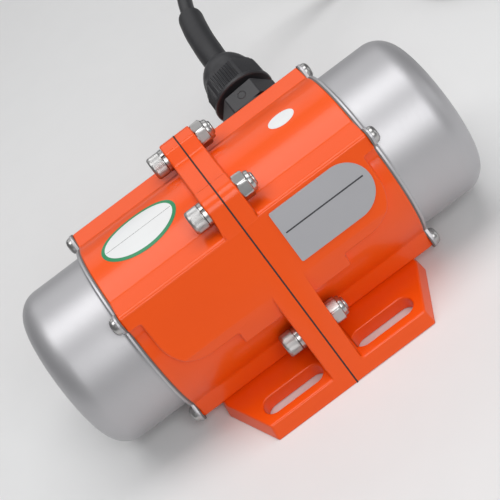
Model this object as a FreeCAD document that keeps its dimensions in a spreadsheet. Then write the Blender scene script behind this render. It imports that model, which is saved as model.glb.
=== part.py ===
import FreeCAD, Part
import math
import os
import Sketcher
from FreeCAD import Placement, Rotation, Vector

# Small twin-flange vibration motor: two cast housing halves bolted together at a
# centre flange, a pressed cup at each end over the eccentric weights, four slotted
# feet and a cable gland at the back.
# +X runs along the shaft, +Y to the back, +Z up; the underside of the feet is z = 0.

doc = FreeCAD.newDocument("vibration_motor")
sheet = doc.addObject("Spreadsheet::Sheet", "Sizes")

SIZES = [
    # housing
    ("axis_height", 40.0),        # shaft centre above the mounting surface
    ("body_half", 57.8),          # centre plane to the machined end face
    ("barrel_radius", 40.0),      # cast barrel, outside
    ("ridge_half_width", 32.8),   # corner posts, across
    ("ridge_top", 34.1),          # corner posts, top face above the axis
    ("ridge_bottom", 33.2),       # corner posts, bottom face below the axis
    ("post_round", 2.2),
    ("face_slope", 0.393),        # lean of the long faces, run over rise
    ("flange_half", 7.0),         # one half of the centre flange
    ("joint_gap", 0.6),           # paper gasket between the halves
    ("ear_y", 22.5),              # upper flange bolts
    ("ear_z", 41.7),
    ("ear_radius", 6.1),
    ("ear_land", 5.6),            # flat on top of an ear, towards the middle
    ("saddle_top", 43.2),         # flange rim between the ears
    ("web_bolt_y", 41.6),         # lower flange bolts
    ("web_bolt_z", 19.8),
    # raised name panel on the long faces
    ("panel_end", 52.4),
    ("panel_low", 1.4),
    ("panel_kink", 6.7),
    ("panel_corner", 15.6),
    ("panel_rail", 6.8),
    ("block_length", 25.3),
    ("block_low", 4.9),
    # feet
    ("foot_thickness", 6.8),
    ("foot_front_half", 38.3),
    ("foot_root_half", 50.0),
    ("foot_root_y", 34.0),
    ("foot_draft", 14.0),         # degrees that the foot's edges lean in
    ("slot_length", 28.4),
    ("slot_width", 9.4),
    ("slot_centre_x", 22.2),
    ("slot_centre_y", 49.2),
    ("relief_depth", 1.6),
    ("relief_half", 27.0),
    # inside of the housing
    ("stator_radius", 34.0),
    ("stator_half", 20.0),
    ("chamber_half", 40.0),
    ("bearing_radius", 17.5),
    ("bearing_width", 11.0),
    ("shaft_hole_gap", 1.0),
    # flange fasteners
    ("bolt_radius", 3.0),
    ("bolt_hole_gap", 0.3),
    ("bolt_head_radius", 5.0),
    ("bolt_head_height", 6.0),
    ("bolt_socket", 5.0),
    ("washer_thick", 1.6),
    ("washer_radius", 5.2),
    ("nut_flats", 10.0),
    ("nut_height", 4.9),
    ("nut_collar", 1.9),
    ("bolt_tip", 0.9),
    # end cups
    ("cup_end", 95.0),
    ("cup_radius", 36.9),
    ("cup_wall", 1.2),
    ("cup_corner", 11.0),
    ("cup_crown", 0.9),
    ("cup_gasket", 0.6),
    ("cup_flange_radius", 39.6),
    ("cup_screw_offset", 30.3),
    ("cup_tab_radius", 4.1),
    ("cup_screw_radius", 2.0),
    ("cup_screw_length", 9.0),
    ("cup_screw_head", 3.7),
    ("cup_screw_head_height", 2.6),
    ("cup_screw_gap", 0.25),
    # rotor
    ("rotor_radius", 17.0),
    ("air_gap", 0.4),
    ("winding_reach", 14.0),
    ("winding_inner", 19.5),
    ("winding_outer", 31.5),
    ("end_ring_length", 6.0),
    ("shaft_radius", 9.0),
    ("journal_radius", 7.5),
    ("stub_radius", 6.0),
    ("stub_start", 59.4),
    ("shaft_half", 88.0),
    ("race_inner", 10.4),
    ("race_outer", 14.4),
    ("race_gap", 0.1),
    # eccentric weights
    ("weight_start", 61.4),
    ("weight_thick", 10.8),
    ("weight_gap", 0.6),
    ("weight_radius", 32.0),
    ("hub_radius", 12.0),
    ("weight_brow", 3.0),
    ("stub_fit", 0.03),
    ("set_screw_radius", 2.5),
    ("clip_radius", 8.6),
    ("clip_thick", 1.2),
    # cable gland
    ("gland_x", 35.1),
    ("gland_z", 16.3),            # where its axis leaves the leaning back face
    ("boss_height", 4.0),
    ("boss_radius", 13.2),
    ("boss_root", 5.0),
    ("gland_thread", 8.0),
    ("gland_spigot", 9.0),
    ("gland_flats", 24.6),
    ("gland_hex_length", 8.7),
    ("gland_turn", -6.5),
    ("gland_washer", 1.0),
    ("gland_bore", 6.8),
    ("cap_gap", 2.3),
    ("cap_turn", -13.5),
    ("cap_rim_radius", 14.25),
    ("cap_rim_length", 2.2),
    ("cap_length", 13.0),
    ("cap_dome", 12.5),
    ("cap_dome_radius", 11.0),
    ("cap_mouth", 7.2),
    ("cap_wall", 2.4),
    ("thread_gap", 0.1),
    ("seal_radius", 6.7),
    ("seal_length", 8.0),
    # cable
    ("cord_radius", 3.5),
    ("cord_start", 22.0),         # how far inside the cap's end the cable begins
    ("cord_straight", 9.0),       # how far past the cap it runs straight
    ("sleeve_radius", 5.9),
    ("sleeve_gap", 0.2),
    ("mouth_gap", 0.4),
    ("sleeve_length", 46.5),
    ("coil_radius", 36.0),
    ("coil_bundle", 7.4),
]
for row, (name, value) in enumerate(SIZES, start=1):
    sheet.set("A%d" % row, name)
    sheet.set("B%d" % row, str(value))
    sheet.setAlias("B%d" % row, name)
doc.recompute()


def ex(text):
    """An expression, with $name standing for a cell of the sheet."""
    return str(text).replace("$", "Sizes.")


def num(text):
    """The present value of such an expression."""
    got = sheet.evalExpression(ex(text))
    return float(getattr(got, "Value", got))


ALONG = {
    "X": Rotation(Vector(0, 1, 0), 90),
    "Y": Rotation(Vector(1, 0, 0), -90),
    "Z": Rotation(),
}


def put(obj, x="0", y="0", z="0"):
    for axis, text in (("x", x), ("y", y), ("z", z)):
        if str(text) != "0":
            obj.setExpression(".Placement.Base." + axis, ex(text))
    return obj


def cyl(name, radius, height, x="0", y="0", z="0", along="X"):
    obj = doc.addObject("Part::Cylinder", name)
    obj.Placement = Placement(Vector(), ALONG[along])
    obj.setExpression("Radius", ex(radius))
    obj.setExpression("Height", ex(height))
    return put(obj, x, y, z)


def box(name, size, at):
    obj = doc.addObject("Part::Box", name)
    for prop, text in zip(("Length", "Width", "Height"), size):
        obj.setExpression(prop, ex(text))
    return put(obj, *at)


def hexagon(name, flats, height, x="0", y="0", z="0", along="X", turn=None):
    obj = doc.addObject("Part::Prism", name)
    obj.Polygon = 6
    obj.Placement = Placement(Vector(), ALONG[along])
    obj.setExpression("Circumradius", ex("(%s) / sqrt(3)" % flats))
    obj.setExpression("Height", ex(height))
    put(obj, x, y, z)
    if turn:
        obj.Placement = Placement(Vector(), ALONG[along].multiply(Rotation(Vector(0, 0, 1), turn)))
    return obj


def fuse(name, *parts):
    obj = doc.addObject("Part::MultiFuse", name)
    obj.Shapes = list(parts)
    obj.Refine = True
    return obj


def group(name, *parts):
    obj = doc.addObject("Part::Compound", name)
    obj.Links = list(parts)
    return obj


def cut(name, base, tool):
    obj = doc.addObject("Part::Cut", name)
    obj.Base, obj.Tool = base, tool
    obj.Refine = True
    return obj


def common(name, one, two):
    obj = doc.addObject("Part::Common", name)
    obj.Base, obj.Tool = one, two
    return obj


def mirror(name, source, normal=Vector(1, 0, 0)):
    obj = doc.addObject("Part::Mirroring", name)
    obj.Source = source
    obj.Base = Vector(0, 0, 0)
    obj.Normal = normal
    return obj


PLANES = {
    "YZ": Rotation(Vector(1, 1, 1), 120),      # drawn right = +Y, up = +Z, normal +X
    "XZ": Rotation(Vector(1, 0, 0), 90),       # right = +X, up = +Z, normal -Y
    "XY": Rotation(),
}


def smooth(corner):
    """A fifth entry marks a half round that runs on from its neighbours without a corner."""
    return len(corner) > 4


def outline(name, plane, corners):
    """A closed sketch. corners are (across, up) expressions; a corner may carry a third
    entry, the radius of the arc that joins it to the next corner, with a fourth, +1 for
    an arc that runs anticlockwise and -1 for clockwise."""
    sk = doc.addObject("Sketcher::SketchObject", name)
    sk.Placement = Placement(Vector(), PLANES[plane])
    n = len(corners)
    at = [Vector(num(c[0]), num(c[1]), 0) for c in corners]
    starts = []
    for i, c in enumerate(corners):
        a, b = at[i], at[(i + 1) % n]
        if len(c) > 2:
            radius = num(c[2])
            mid, way = (a + b) * 0.5, b - a
            rise = math.sqrt(max(radius ** 2 - (way.Length / 2) ** 2, 0.0))
            side = Vector(-way.y, way.x, 0)
            side.normalize()
            centre = mid + side * rise * c[3]
            a0 = math.atan2(a.y - centre.y, a.x - centre.x)
            b0 = math.atan2(b.y - centre.y, b.x - centre.x)
            circle = Part.Circle(centre, Vector(0, 0, 1), radius)
            if c[3] > 0:
                g = sk.addGeometry(Part.ArcOfCircle(circle, a0, b0), False)
                starts.append((g, 1, 2))
            else:
                g = sk.addGeometry(Part.ArcOfCircle(circle, b0, a0), False)
                starts.append((g, 2, 1))
        else:
            g = sk.addGeometry(Part.LineSegment(a, b), False)
            starts.append((g, 1, 2))
    for i in range(n):
        g, _, end = starts[i]
        h, begin, _ = starts[(i + 1) % n]
        half_round = smooth(corners[(i + 1) % n])
        sk.addConstraint(Sketcher.Constraint("Tangent" if half_round else "Coincident", g, end, h, begin))
    for i, c in enumerate(corners):
        g, begin, _ = starts[i]
        for kind, text, value in (("DistanceX", c[0], at[i].x), ("DistanceY", c[1], at[i].y)):
            if abs(value) < 1e-9:
                if kind == "DistanceX":
                    sk.addConstraint(Sketcher.Constraint("PointOnObject", g, begin, -2))
                else:
                    sk.addConstraint(Sketcher.Constraint("PointOnObject", g, begin, -1))
                continue
            k = sk.addConstraint(Sketcher.Constraint(kind, -1, 1, g, begin, value))
            sk.renameConstraint(k, "%s%d" % (kind[-1].lower(), i))
            sk.setExpression("Constraints.%s%d" % (kind[-1].lower(), i), ex(text))
        if len(c) > 2 and not smooth(c):
            k = sk.addConstraint(Sketcher.Constraint("Radius", g, num(c[2])))
            sk.renameConstraint(k, "r%d" % i)
            sk.setExpression("Constraints.r%d" % i, ex(c[2]))
    return sk


def extrude(name, sketch, length, back=False):
    obj = doc.addObject("Part::Extrusion", name)
    obj.Base = sketch
    obj.DirMode = "Normal"
    obj.Solid = True
    obj.Reversed = back
    obj.setExpression("LengthFwd", ex(length))
    return obj


def revolve(name, sketch, axis=Vector(1, 0, 0)):
    obj = doc.addObject("Part::Revolution", name)
    obj.Source = sketch
    obj.Axis = axis
    obj.Base = Vector(0, 0, 0)
    obj.Angle = 360
    obj.Solid = True
    return obj


def four(name, source, copies):
    """Copies of one piece at (y, z) places, as separate solids."""
    made = []
    for i, (y, z) in enumerate(copies):
        link = doc.addObject("Part::Compound", "%s_%d" % (name, i + 1))
        link.Links = [source]
        put(link, "0", y, z)
        made.append(link)
    return group(name, *made)


NODES = []


def node(label, obj, lift="$axis_height"):
    """The finished sub-part: named, and stood at the shaft's height."""
    obj.Label = label
    if lift:
        obj.setExpression(".Placement.Base.z", ex(lift))
    NODES.append((label, obj))
    return obj


# ---------------------------------------------------------------- housing half
# All of this is drawn about the shaft axis for the half at +X; the other is its mirror.
SKIN = "($ear_y + $face_slope * $ear_z + $ear_radius * sqrt(1 + $face_slope ^ 2))"
START = "($joint_gap / 2)"
REACH = "($body_half - $joint_gap / 2)"


def skin(z):
    """How far the leaning long face stands from the axis at height z."""
    return "(%s - $face_slope * (%s))" % (SKIN, z)


LEAN = "sqrt(1 + $face_slope ^ 2)"

barrel = cyl("barrel", "$barrel_radius", REACH, START)
posts = box("posts", (REACH, "2 * $ridge_half_width", "$ridge_top + $ridge_bottom"),
            (START, "-$ridge_half_width", "-$ridge_bottom"))
posts_round = doc.addObject("Part::Fillet", "posts_round")
posts_round.Base = posts
doc.recompute()
long_edges = []
for i, edge in enumerate(posts.Shape.Edges, start=1):
    a, b = edge.Vertexes[0].Point, edge.Vertexes[-1].Point
    if abs(abs(a.x - b.x) - num(REACH)) < 1e-6:
        long_edges.append((i, num("$post_round"), num("$post_round")))
posts_round.Edges = long_edges

# centre flange: leaning sides, a round ear at each upper bolt, a low saddle between
half_flange = [
    ("0", "-$axis_height"),
    (skin("-$axis_height"), "-$axis_height"),
    ("$ear_y + $ear_radius / " + LEAN, "$ear_z + $ear_radius * $face_slope / " + LEAN),
    ("$ear_y", "$ear_z + $ear_radius"),
    ("$ear_y - $ear_land", "$ear_z + $ear_radius"),
    ("$ear_y - $ear_land - ($ear_z + $ear_radius - $saddle_top)", "$saddle_top"),
    ("0", "$saddle_top"),
]
flange_corners = []
for a, b in half_flange[1:-1]:
    flange_corners.append((a, b))
for a, b in reversed(half_flange[1:-1]):
    flange_corners.append(("-(%s)" % a, b))
# the round ears are arcs of the same outline
flange_corners[1] = flange_corners[1] + ("$ear_radius", 1)
k = len(flange_corners) - 3
flange_corners[k] = flange_corners[k] + ("$ear_radius", 1)
flange_sketch = outline("flange_outline", "YZ", flange_corners)
flange_slab = extrude("flange_slab", flange_sketch, "$joint_gap / 2 + $flange_half")

# foot plate, waisted towards the front and back edges
foot_edge = skin("-$axis_height")
foot_sketch = outline("foot_outline", "XY", [
    ("0", "-%s" % foot_edge),
    ("$foot_front_half", "-%s" % foot_edge),
    ("$foot_root_half", "-$foot_root_y"),
    ("$foot_root_half", "$foot_root_y"),
    ("$foot_front_half", foot_edge),
    ("0", foot_edge),
])
foot_plate = extrude("foot_plate", foot_sketch, "$foot_thickness")
foot_plate.setExpression("TaperAngle", "-Sizes.foot_draft")
foot_plate.setExpression(".Placement.Base.z", ex("-$axis_height"))

# D-shaped raised panel and its rail, as seen from the front
panel_sketch = outline("panel_outline", "XZ", [
    ("0", "$panel_low"),
    ("$panel_end - $panel_corner", "$panel_low", "$panel_corner", 1),
    ("$panel_end", "$panel_low + $panel_corner"),
    ("$panel_end", "$ridge_top - $panel_rail"),
    ("$body_half", "$ridge_top - $panel_rail"),
    ("$body_half", "$ridge_top - 0.4 * $post_round"),
    ("0", "$ridge_top - 0.4 * $post_round"),
])
panel_block = extrude("panel_block", panel_sketch, skin("0") + " + 2")
panel_profile = outline("panel_profile", "YZ", [
    ("-%s" % skin("$ridge_top - 0.4 * $post_round"), "$ridge_top - 0.4 * $post_round"),
    ("0", "$ridge_top - 0.4 * $post_round"),
    ("0", "-$block_low"),
    ("-%s" % skin("$panel_kink"), "-$block_low"),
    ("-%s" % skin("$panel_kink"), "$panel_kink"),
])
panel_bar = extrude("panel_bar", panel_profile, "$body_half")
panel = common("panel", panel_block, panel_bar)
block = box("panel_block_low",
            ("$block_length", "%s - $ridge_half_width / 2" % skin("$panel_kink"),
             "$block_low + $panel_low + 1"),
            ("0", "-%s" % skin("$panel_kink"), "-$block_low"))
panel_front = fuse("panel_front", panel, block)
panel_back = mirror("panel_back", panel_front, Vector(0, 1, 0))

# front and back trimming of the feet to the leaning face
trim_sketch = outline("trim_outline", "YZ", [
    ("%s" % skin("-$axis_height"), "-$axis_height"),
    ("%s + 20" % skin("-$axis_height"), "-$axis_height"),
    ("%s + 20" % skin("-$axis_height"), "0"),
    ("%s" % skin("0"), "0"),
])
trim_back = extrude("trim_back", trim_sketch, "$body_half")
trim_front = mirror("trim_front", trim_back, Vector(0, 1, 0))
foot_trimmed = cut("foot_trimmed", foot_plate, fuse("trims", trim_back, trim_front))

casting = fuse("casting", barrel, posts_round, flange_slab, foot_trimmed, panel_front, panel_back)

# what is taken away: everything past the joint and below the feet, the bores, holes and slots
below = box("below", ("2 * $body_half", "4 * $axis_height", "$axis_height"),
            ("-$body_half", "-2 * $axis_height", "-2 * $axis_height"))
beside = box("beside", ("$body_half", "6 * $barrel_radius", "6 * $barrel_radius"),
             ("$joint_gap / 2 - $body_half", "-3 * $barrel_radius", "-3 * $barrel_radius"))
relief = box("relief", ("2 * $body_half", "2 * $relief_half", "$relief_depth"),
             ("$joint_gap / 2 + $flange_half", "-$relief_half", "-$axis_height"))
chamber = cyl("chamber", "$stator_radius", "$chamber_half")
shaft_way = cyl("shaft_way", "$shaft_radius + $shaft_hole_gap", "$body_half")
bearing_seat = cyl("bearing_seat", "$bearing_radius", "$bearing_width + 1", "$body_half - $bearing_width")
tools = [below, beside, relief, chamber, shaft_way, bearing_seat]
for sy in ("", "-"):
    tools.append(cyl("ear_hole" + ("_f" if sy else "_b"), "$bolt_radius + $bolt_hole_gap",
                     "2 * $flange_half", "0", sy + "$ear_y", "$ear_z"))
    tools.append(cyl("web_hole" + ("_f" if sy else "_b"), "$bolt_radius + $bolt_hole_gap",
                     "2 * $flange_half", "0", sy + "$web_bolt_y", "-$web_bolt_z"))
    for sz in ("", "-"):
        tools.append(cyl("cup_tap" + ("_f" if sy else "_b") + ("_l" if sz else "_u"),
                         "$cup_screw_radius", "$cup_screw_length + 2",
                         "$body_half - $cup_screw_length - 1",
                         sy + "$cup_screw_offset", sz + "$cup_screw_offset"))
    slot_sketch = outline("slot_outline" + ("_f" if sy else "_b"), "XY", [
        ("$slot_centre_x - $slot_length / 2 + $slot_width / 2", sy + "$slot_centre_y - $slot_width / 2"),
        ("$slot_centre_x + $slot_length / 2 - $slot_width / 2", sy + "$slot_centre_y - $slot_width / 2",
         "$slot_width / 2", 1, "half round"),
        ("$slot_centre_x + $slot_length / 2 - $slot_width / 2", sy + "$slot_centre_y + $slot_width / 2"),
        ("$slot_centre_x - $slot_length / 2 + $slot_width / 2", sy + "$slot_centre_y + $slot_width / 2",
         "$slot_width / 2", 1, "half round"),
    ])
    slot = extrude("slot" + ("_f" if sy else "_b"), slot_sketch, "2 * $foot_thickness")
    slot.setExpression(".Placement.Base.z", ex("-$axis_height - $foot_thickness / 2"))
    tools.append(slot)
housing_cuts = fuse("housing_cuts", *tools)
half = cut("housing_half", casting, housing_cuts)

left_housing = node("left_housing", mirror("left_half", half))

# right half: the same casting with a round boss for the cable gland, square to the
# leaning back face
def leaning(name, obj):
    """The same piece, drawn along +Y from the origin, stood square on the back face."""
    stood = doc.addObject("Part::Compound", name)
    stood.Links = [obj]
    stood.Placement = Placement(Vector(), Rotation(Vector(1, 0, 0), 20))
    stood.setExpression(".Placement.Rotation.Angle", "atan(Sizes.face_slope)")
    return put(stood, "$gland_x", skin("$gland_z"), "$gland_z")


boss = leaning("gland_boss", cyl("boss_disc", "$boss_radius", "$boss_height + $boss_root", "0",
                                 "-$boss_root", "0", "Y"))
boss_bore = leaning("boss_bore", cyl("boss_hole", "$gland_thread", "2 * $gland_spigot", "0",
                                     "$boss_height - 1.4 * $gland_spigot", "0", "Y"))
boss_clear = fuse("boss_clear", boss_bore, chamber)
right_blank = fuse("right_blank", half, boss)
right_housing = node("right_housing", cut("right_half", right_blank, boss_clear))

# paper gasket between the two flanges
gasket_slab = extrude("gasket_slab", flange_sketch, "$joint_gap")
gasket_slab.setExpression(".Placement.Base.x", ex("-$joint_gap / 2"))
gasket_holes = [cyl("gasket_bore", "$stator_radius", "4 * $joint_gap", "-2 * $joint_gap")]
for i, (y, z) in enumerate((("$ear_y", "$ear_z"), ("-$ear_y", "$ear_z"),
                            ("$web_bolt_y", "-$web_bolt_z"), ("-$web_bolt_y", "-$web_bolt_z"))):
    gasket_holes.append(cyl("gasket_hole_%d" % i, "$bolt_radius + $bolt_hole_gap", "4 * $joint_gap",
                            "-2 * $joint_gap", y, z))
flange_gasket = node("flange_gasket", cut("gasket_cut", gasket_slab, fuse("gasket_cuts", *gasket_holes)))

# ------------------------------------------------------------ flange fasteners
FACE = "($joint_gap / 2 + $flange_half)"
BOLTS = [("-$ear_y", "$ear_z"), ("$ear_y", "$ear_z"),
         ("-$web_bolt_y", "-$web_bolt_z"), ("$web_bolt_y", "-$web_bolt_z")]
head = cyl("bolt_head", "$bolt_head_radius", "$bolt_head_height",
           "-(%s + $washer_thick + $bolt_head_height)" % FACE)
shank = cyl("bolt_shank", "$bolt_radius",
            "2 * %s + $washer_thick + $nut_height + $nut_collar + $bolt_tip" % FACE,
            "-(%s + $washer_thick)" % FACE)
socket = hexagon("bolt_socket_hex", "$bolt_socket", "$bolt_head_height / 2 + 1",
                 "-(%s + $washer_thick + $bolt_head_height + 1)" % FACE)
bolt = cut("bolt", fuse("bolt_blank", head, shank), socket)
flange_bolts = node("flange_bolts", four("flange_bolt_set", bolt, BOLTS))

ring = cyl("washer_ring", "$washer_radius", "$washer_thick", "-(%s + $washer_thick)" % FACE)
ring_hole = cyl("washer_hole", "$bolt_radius + $bolt_hole_gap / 3", "3 * $washer_thick",
                "-(%s + 2 * $washer_thick)" % FACE)
split = box("washer_split", ("3 * $washer_thick", "$washer_radius", "0.7"),
            ("-(%s + 2 * $washer_thick)" % FACE, "0", "-0.35"))
split.Placement = Placement(Vector(), Rotation(Vector(1, 0, 0), -60))
washer = cut("washer", ring, fuse("washer_cuts", ring_hole, split))
flange_spring_washers = node("flange_spring_washers", four("washer_set", washer, BOLTS))

nut_hex = hexagon("nut_hex", "$nut_flats", "$nut_height", FACE)
nut_ball = cyl("nut_round", "$nut_flats * 0.555", "$nut_height + $nut_collar", FACE)
collar = cyl("nut_collar", "0.44 * $nut_flats", "$nut_height + $nut_collar", FACE)
nut_hole = cyl("nut_hole", "$bolt_radius", "3 * $nut_height", "%s - $nut_height" % FACE)
nut = cut("nut", fuse("nut_blank", common("nut_turned", nut_hex, nut_ball), collar), nut_hole)
flange_lock_nuts = node("flange_lock_nuts", four("nut_set", nut, BOLTS))

# -------------------------------------------------------------------- end cups
CORNERS = [(sy + "$cup_screw_offset", sz + "$cup_screw_offset") for sy in ("", "-") for sz in ("", "-")]
SEAT = "($body_half + $cup_gasket)"


def tabbed(name, thick, at, hole):
    """A round plate with a tab at each of the four screws and a round hole."""
    parts = [cyl(name + "_disc", "$cup_flange_radius", thick, at)]
    holes = [cyl(name + "_hole", hole, "4 * (%s)" % thick, "%s - (%s)" % (at, thick))]
    for i, (y, z) in enumerate(CORNERS):
        parts.append(cyl("%s_tab_%d" % (name, i), "$cup_tab_radius", thick, at, y, z))
        arm = box("%s_arm_%d" % (name, i), (thick, "2 * $cup_tab_radius", "$cup_screw_offset * sqrt(2)"),
                  (at, "0", "0"))
        turn = Rotation(Vector(1, 0, 0), {0: -45, 1: -135, 2: 45, 3: 135}[i])
        shift = turn.multVec(Vector(0, -1, 0))
        arm.Placement = Placement(Vector(), turn)
        put(arm, at, "%.9f * $cup_tab_radius" % shift.y, "%.9f * $cup_tab_radius" % shift.z)
        parts.append(arm)
        holes.append(cyl("%s_screw_hole_%d" % (name, i), "$cup_screw_radius + $cup_screw_gap",
                         "4 * (%s)" % thick, "%s - (%s)" % (at, thick), y, z))
    return fuse(name + "_plate", *parts), holes


def cup_form(name, inset, start):
    """Deep-drawn cup: straight wall, large corner, slightly crowned end; the profile is
    drawn to the axis, and inset is the distance inside the outer skin."""
    r = "($cup_radius - %s)" % inset
    c = "($cup_corner - %s)" % inset
    e = "($cup_end - %s)" % inset
    return revolve(name, outline(name + "_profile", "XZ", [
        (start, "0"),
        ("%s" % e, "0"),
        ("%s - $cup_crown" % e, "%s - %s" % (r, c), c, 1),
        ("%s - $cup_crown - %s" % (e, c), r),
        (start, r),
    ]))


cup_skin = cup_form("cup_skin", "0", SEAT)
cup_core = cup_form("cup_core", "$cup_wall", "%s - 2" % SEAT)
plate, plate_holes = tabbed("cup_flange", "$cup_wall", SEAT, "$cup_radius - $cup_wall")
cup = cut("cup", fuse("cup_blank", cup_skin, plate), fuse("cup_cuts", cup_core, *plate_holes[1:]))
right_end_cover = node("right_end_cover", group("right_cup", cup))
left_end_cover = node("left_end_cover", mirror("left_cup", cup))

gplate, gholes = tabbed("cup_seal", "$cup_gasket", "$body_half", "$cup_radius - $cup_wall")
seal = cut("cup_seal_cut", gplate, fuse("cup_seal_cuts", *gholes))
right_cover_gasket = node("right_cover_gasket", group("right_seal", seal))
left_cover_gasket = node("left_cover_gasket", mirror("left_seal", seal))

# pan-head screws of the cups: domed heads with a cross recess
UNDER = "(%s + $cup_wall)" % SEAT
pan = revolve("pan_head", outline("pan_profile", "XZ", [
    (UNDER, "0"),
    ("%s + $cup_screw_head_height" % UNDER, "0"),
    ("%s + $cup_screw_head_height" % UNDER, "0.6 * $cup_screw_head"),
    ("%s + 0.5 * $cup_screw_head_height" % UNDER, "$cup_screw_head"),
    (UNDER, "$cup_screw_head"),
]))
pan_shank = cyl("pan_shank", "$cup_screw_radius", "$cup_screw_length + $cup_wall + $cup_gasket",
                "$body_half - $cup_screw_length")
cross = [box("cross_%d" % i, ("$cup_screw_head_height", w, d),
             ("%s + 0.45 * $cup_screw_head_height" % UNDER, "-(%s) / 2" % w, "-(%s) / 2" % d))
         for i, (w, d) in enumerate((("1.0 * $cup_screw_head", "0.24 * $cup_screw_head"),
                                     ("0.24 * $cup_screw_head", "1.0 * $cup_screw_head")))]
pan_screw = cut("pan_screw", fuse("pan_blank", pan, pan_shank), fuse("cross_recess", *cross))
right_cover_screws = node("right_cover_screws", four("right_screw_set", pan_screw, CORNERS))
left_screws = four("left_screws_source", pan_screw, CORNERS)
left_cover_screws = node("left_cover_screws", mirror("left_screw_set", left_screws))

# --------------------------------------------------------------- motor internals
stator = cut("stator", cyl("stator_disc", "$stator_radius", "2 * $stator_half", "-$stator_half"),
             cyl("stator_bore", "$rotor_radius + $air_gap", "3 * $stator_half", "-1.5 * $stator_half"))
stator_core = node("stator_core", stator)

coil_end = revolve("coil_end", outline("coil_end_profile", "XZ", [
    ("$stator_half", "$winding_inner"),
    ("$stator_half + 0.75 * $winding_reach", "$winding_inner"),
    ("$stator_half + $winding_reach", "$winding_inner + 0.25 * $winding_reach"),
    ("$stator_half + $winding_reach", "$winding_outer - 0.25 * $winding_reach"),
    ("$stator_half + 0.75 * $winding_reach", "$winding_outer"),
    ("$stator_half", "$winding_outer"),
]))
winding_pair = group("winding_pair", coil_end, mirror("coil_end_left", coil_end))
stator_windings = node("stator_windings", winding_pair)

rotor_stack = cyl("rotor_stack", "$rotor_radius", "2 * $stator_half", "-$stator_half")
end_rings = cyl("rotor_end_rings", "$rotor_radius - 1.5", "2 * ($stator_half + $end_ring_length)",
                "-($stator_half + $end_ring_length)")
rotor = cut("rotor", fuse("rotor_blank", rotor_stack, end_rings),
            cyl("rotor_bore", "$shaft_radius", "4 * $stator_half", "-2 * $stator_half"))
rotor_core = node("rotor_core", rotor)

SHOULDER = "($body_half - $bearing_width - 1)"
shaft_half = outline("shaft_profile", "XZ", [
    ("-$shaft_half", "0"),
    ("$shaft_half", "0"),
    ("$shaft_half", "$stub_radius - 0.8"),
    ("$shaft_half - 0.8", "$stub_radius"),
    ("$stub_start", "$stub_radius"),
    ("$stub_start", "$journal_radius"),
    (SHOULDER, "$journal_radius"),
    (SHOULDER, "$shaft_radius"),
    ("-%s" % SHOULDER, "$shaft_radius"),
    ("-%s" % SHOULDER, "$journal_radius"),
    ("-$stub_start", "$journal_radius"),
    ("-$stub_start", "$stub_radius"),
    ("-$shaft_half + 0.8", "$stub_radius"),
    ("-$shaft_half", "$stub_radius - 0.8"),
])
shaft = node("shaft", revolve("shaft_turned", shaft_half))

for side in ("right", "left"):
    outer = cut(side + "_race_o", cyl(side + "_race_o_disc", "$bearing_radius", "$bearing_width",
                                      "$body_half - $bearing_width"),
                cyl(side + "_race_o_hole", "$race_inner + $race_gap", "2 * $bearing_width",
                    "$body_half - 1.5 * $bearing_width"))
    inner = cut(side + "_race_i", cyl(side + "_race_i_disc", "$race_inner", "$bearing_width",
                                      "$body_half - $bearing_width"),
                cyl(side + "_race_i_hole", "$journal_radius", "2 * $bearing_width",
                    "$body_half - 1.5 * $bearing_width"))
    if side == "left":
        outer, inner = mirror("race_o_mirror", outer), mirror("race_i_mirror", inner)
    node(side + "_bearing_outer", outer)
    node(side + "_bearing_inner", inner)


# eccentric weights: a half disc hung from a round hub; the inner one is keyed to the
# shaft and the outer one can be turned on it when its screw is slack
def weight(name, at):
    disc = cyl(name + "_disc", "$weight_radius", "$weight_thick", at)
    top = box(name + "_top", ("3 * $weight_thick", "3 * $weight_radius", "2 * $weight_radius"),
              ("%s - $weight_thick" % at, "-1.5 * $weight_radius", "-$weight_brow"))
    lobe = cut(name + "_lobe", disc, top)
    hub = cyl(name + "_hub", "$hub_radius", "$weight_thick", at)
    bore = cyl(name + "_bore", "$stub_radius + $stub_fit", "3 * $weight_thick", "%s - $weight_thick" % at)
    tap = cyl(name + "_tap", "$set_screw_radius", "2 * $hub_radius", "%s + $weight_thick / 2" % at,
              "0", "0", "Z")
    return cut(name + "_cut", fuse(name + "_blank", lobe, hub), fuse(name + "_cuts", bore, tap))


INNER_AT = "$weight_start"
OUTER_AT = "($weight_start + $weight_thick + $weight_gap)"
for side in ("right", "left"):
    for kind, at in (("fixed", INNER_AT), ("adjustable", OUTER_AT)):
        name = "%s_%s" % (side, kind)
        body = weight(name + "_w", at)
        middle = "%s + $weight_thick / 2" % at
        rod = cyl(name + "_screw_rod", "$set_screw_radius", "$hub_radius - $stub_radius - $stub_fit + 0.6",
                  middle, "0", "$stub_radius + $stub_fit", "Z")
        socket = hexagon(name + "_screw_hex", "$set_screw_radius", "$set_screw_radius",
                         middle, "0", "$hub_radius + 0.6 - $set_screw_radius + 0.8", "Z")
        screw = cut(name + "_screw", rod, socket)
        if side == "left":
            body, screw = mirror(name + "_m", body), mirror(name + "_sm", screw)
        node("%s_weight" % name, body)
        node("%s_weight_screw" % name, screw)
    clip = cut(side + "_clip", cyl(side + "_clip_disc", "$clip_radius", "$clip_thick",
                                   "%s + $weight_thick + $weight_gap / 2" % OUTER_AT),
               cyl(side + "_clip_hole", "$stub_radius", "6 * $clip_thick",
                   "%s + $weight_thick - 2 * $clip_thick" % OUTER_AT))
    if side == "left":
        clip = mirror("left_clip_m", clip)
    node(side + "_shaft_clip", clip)

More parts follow.
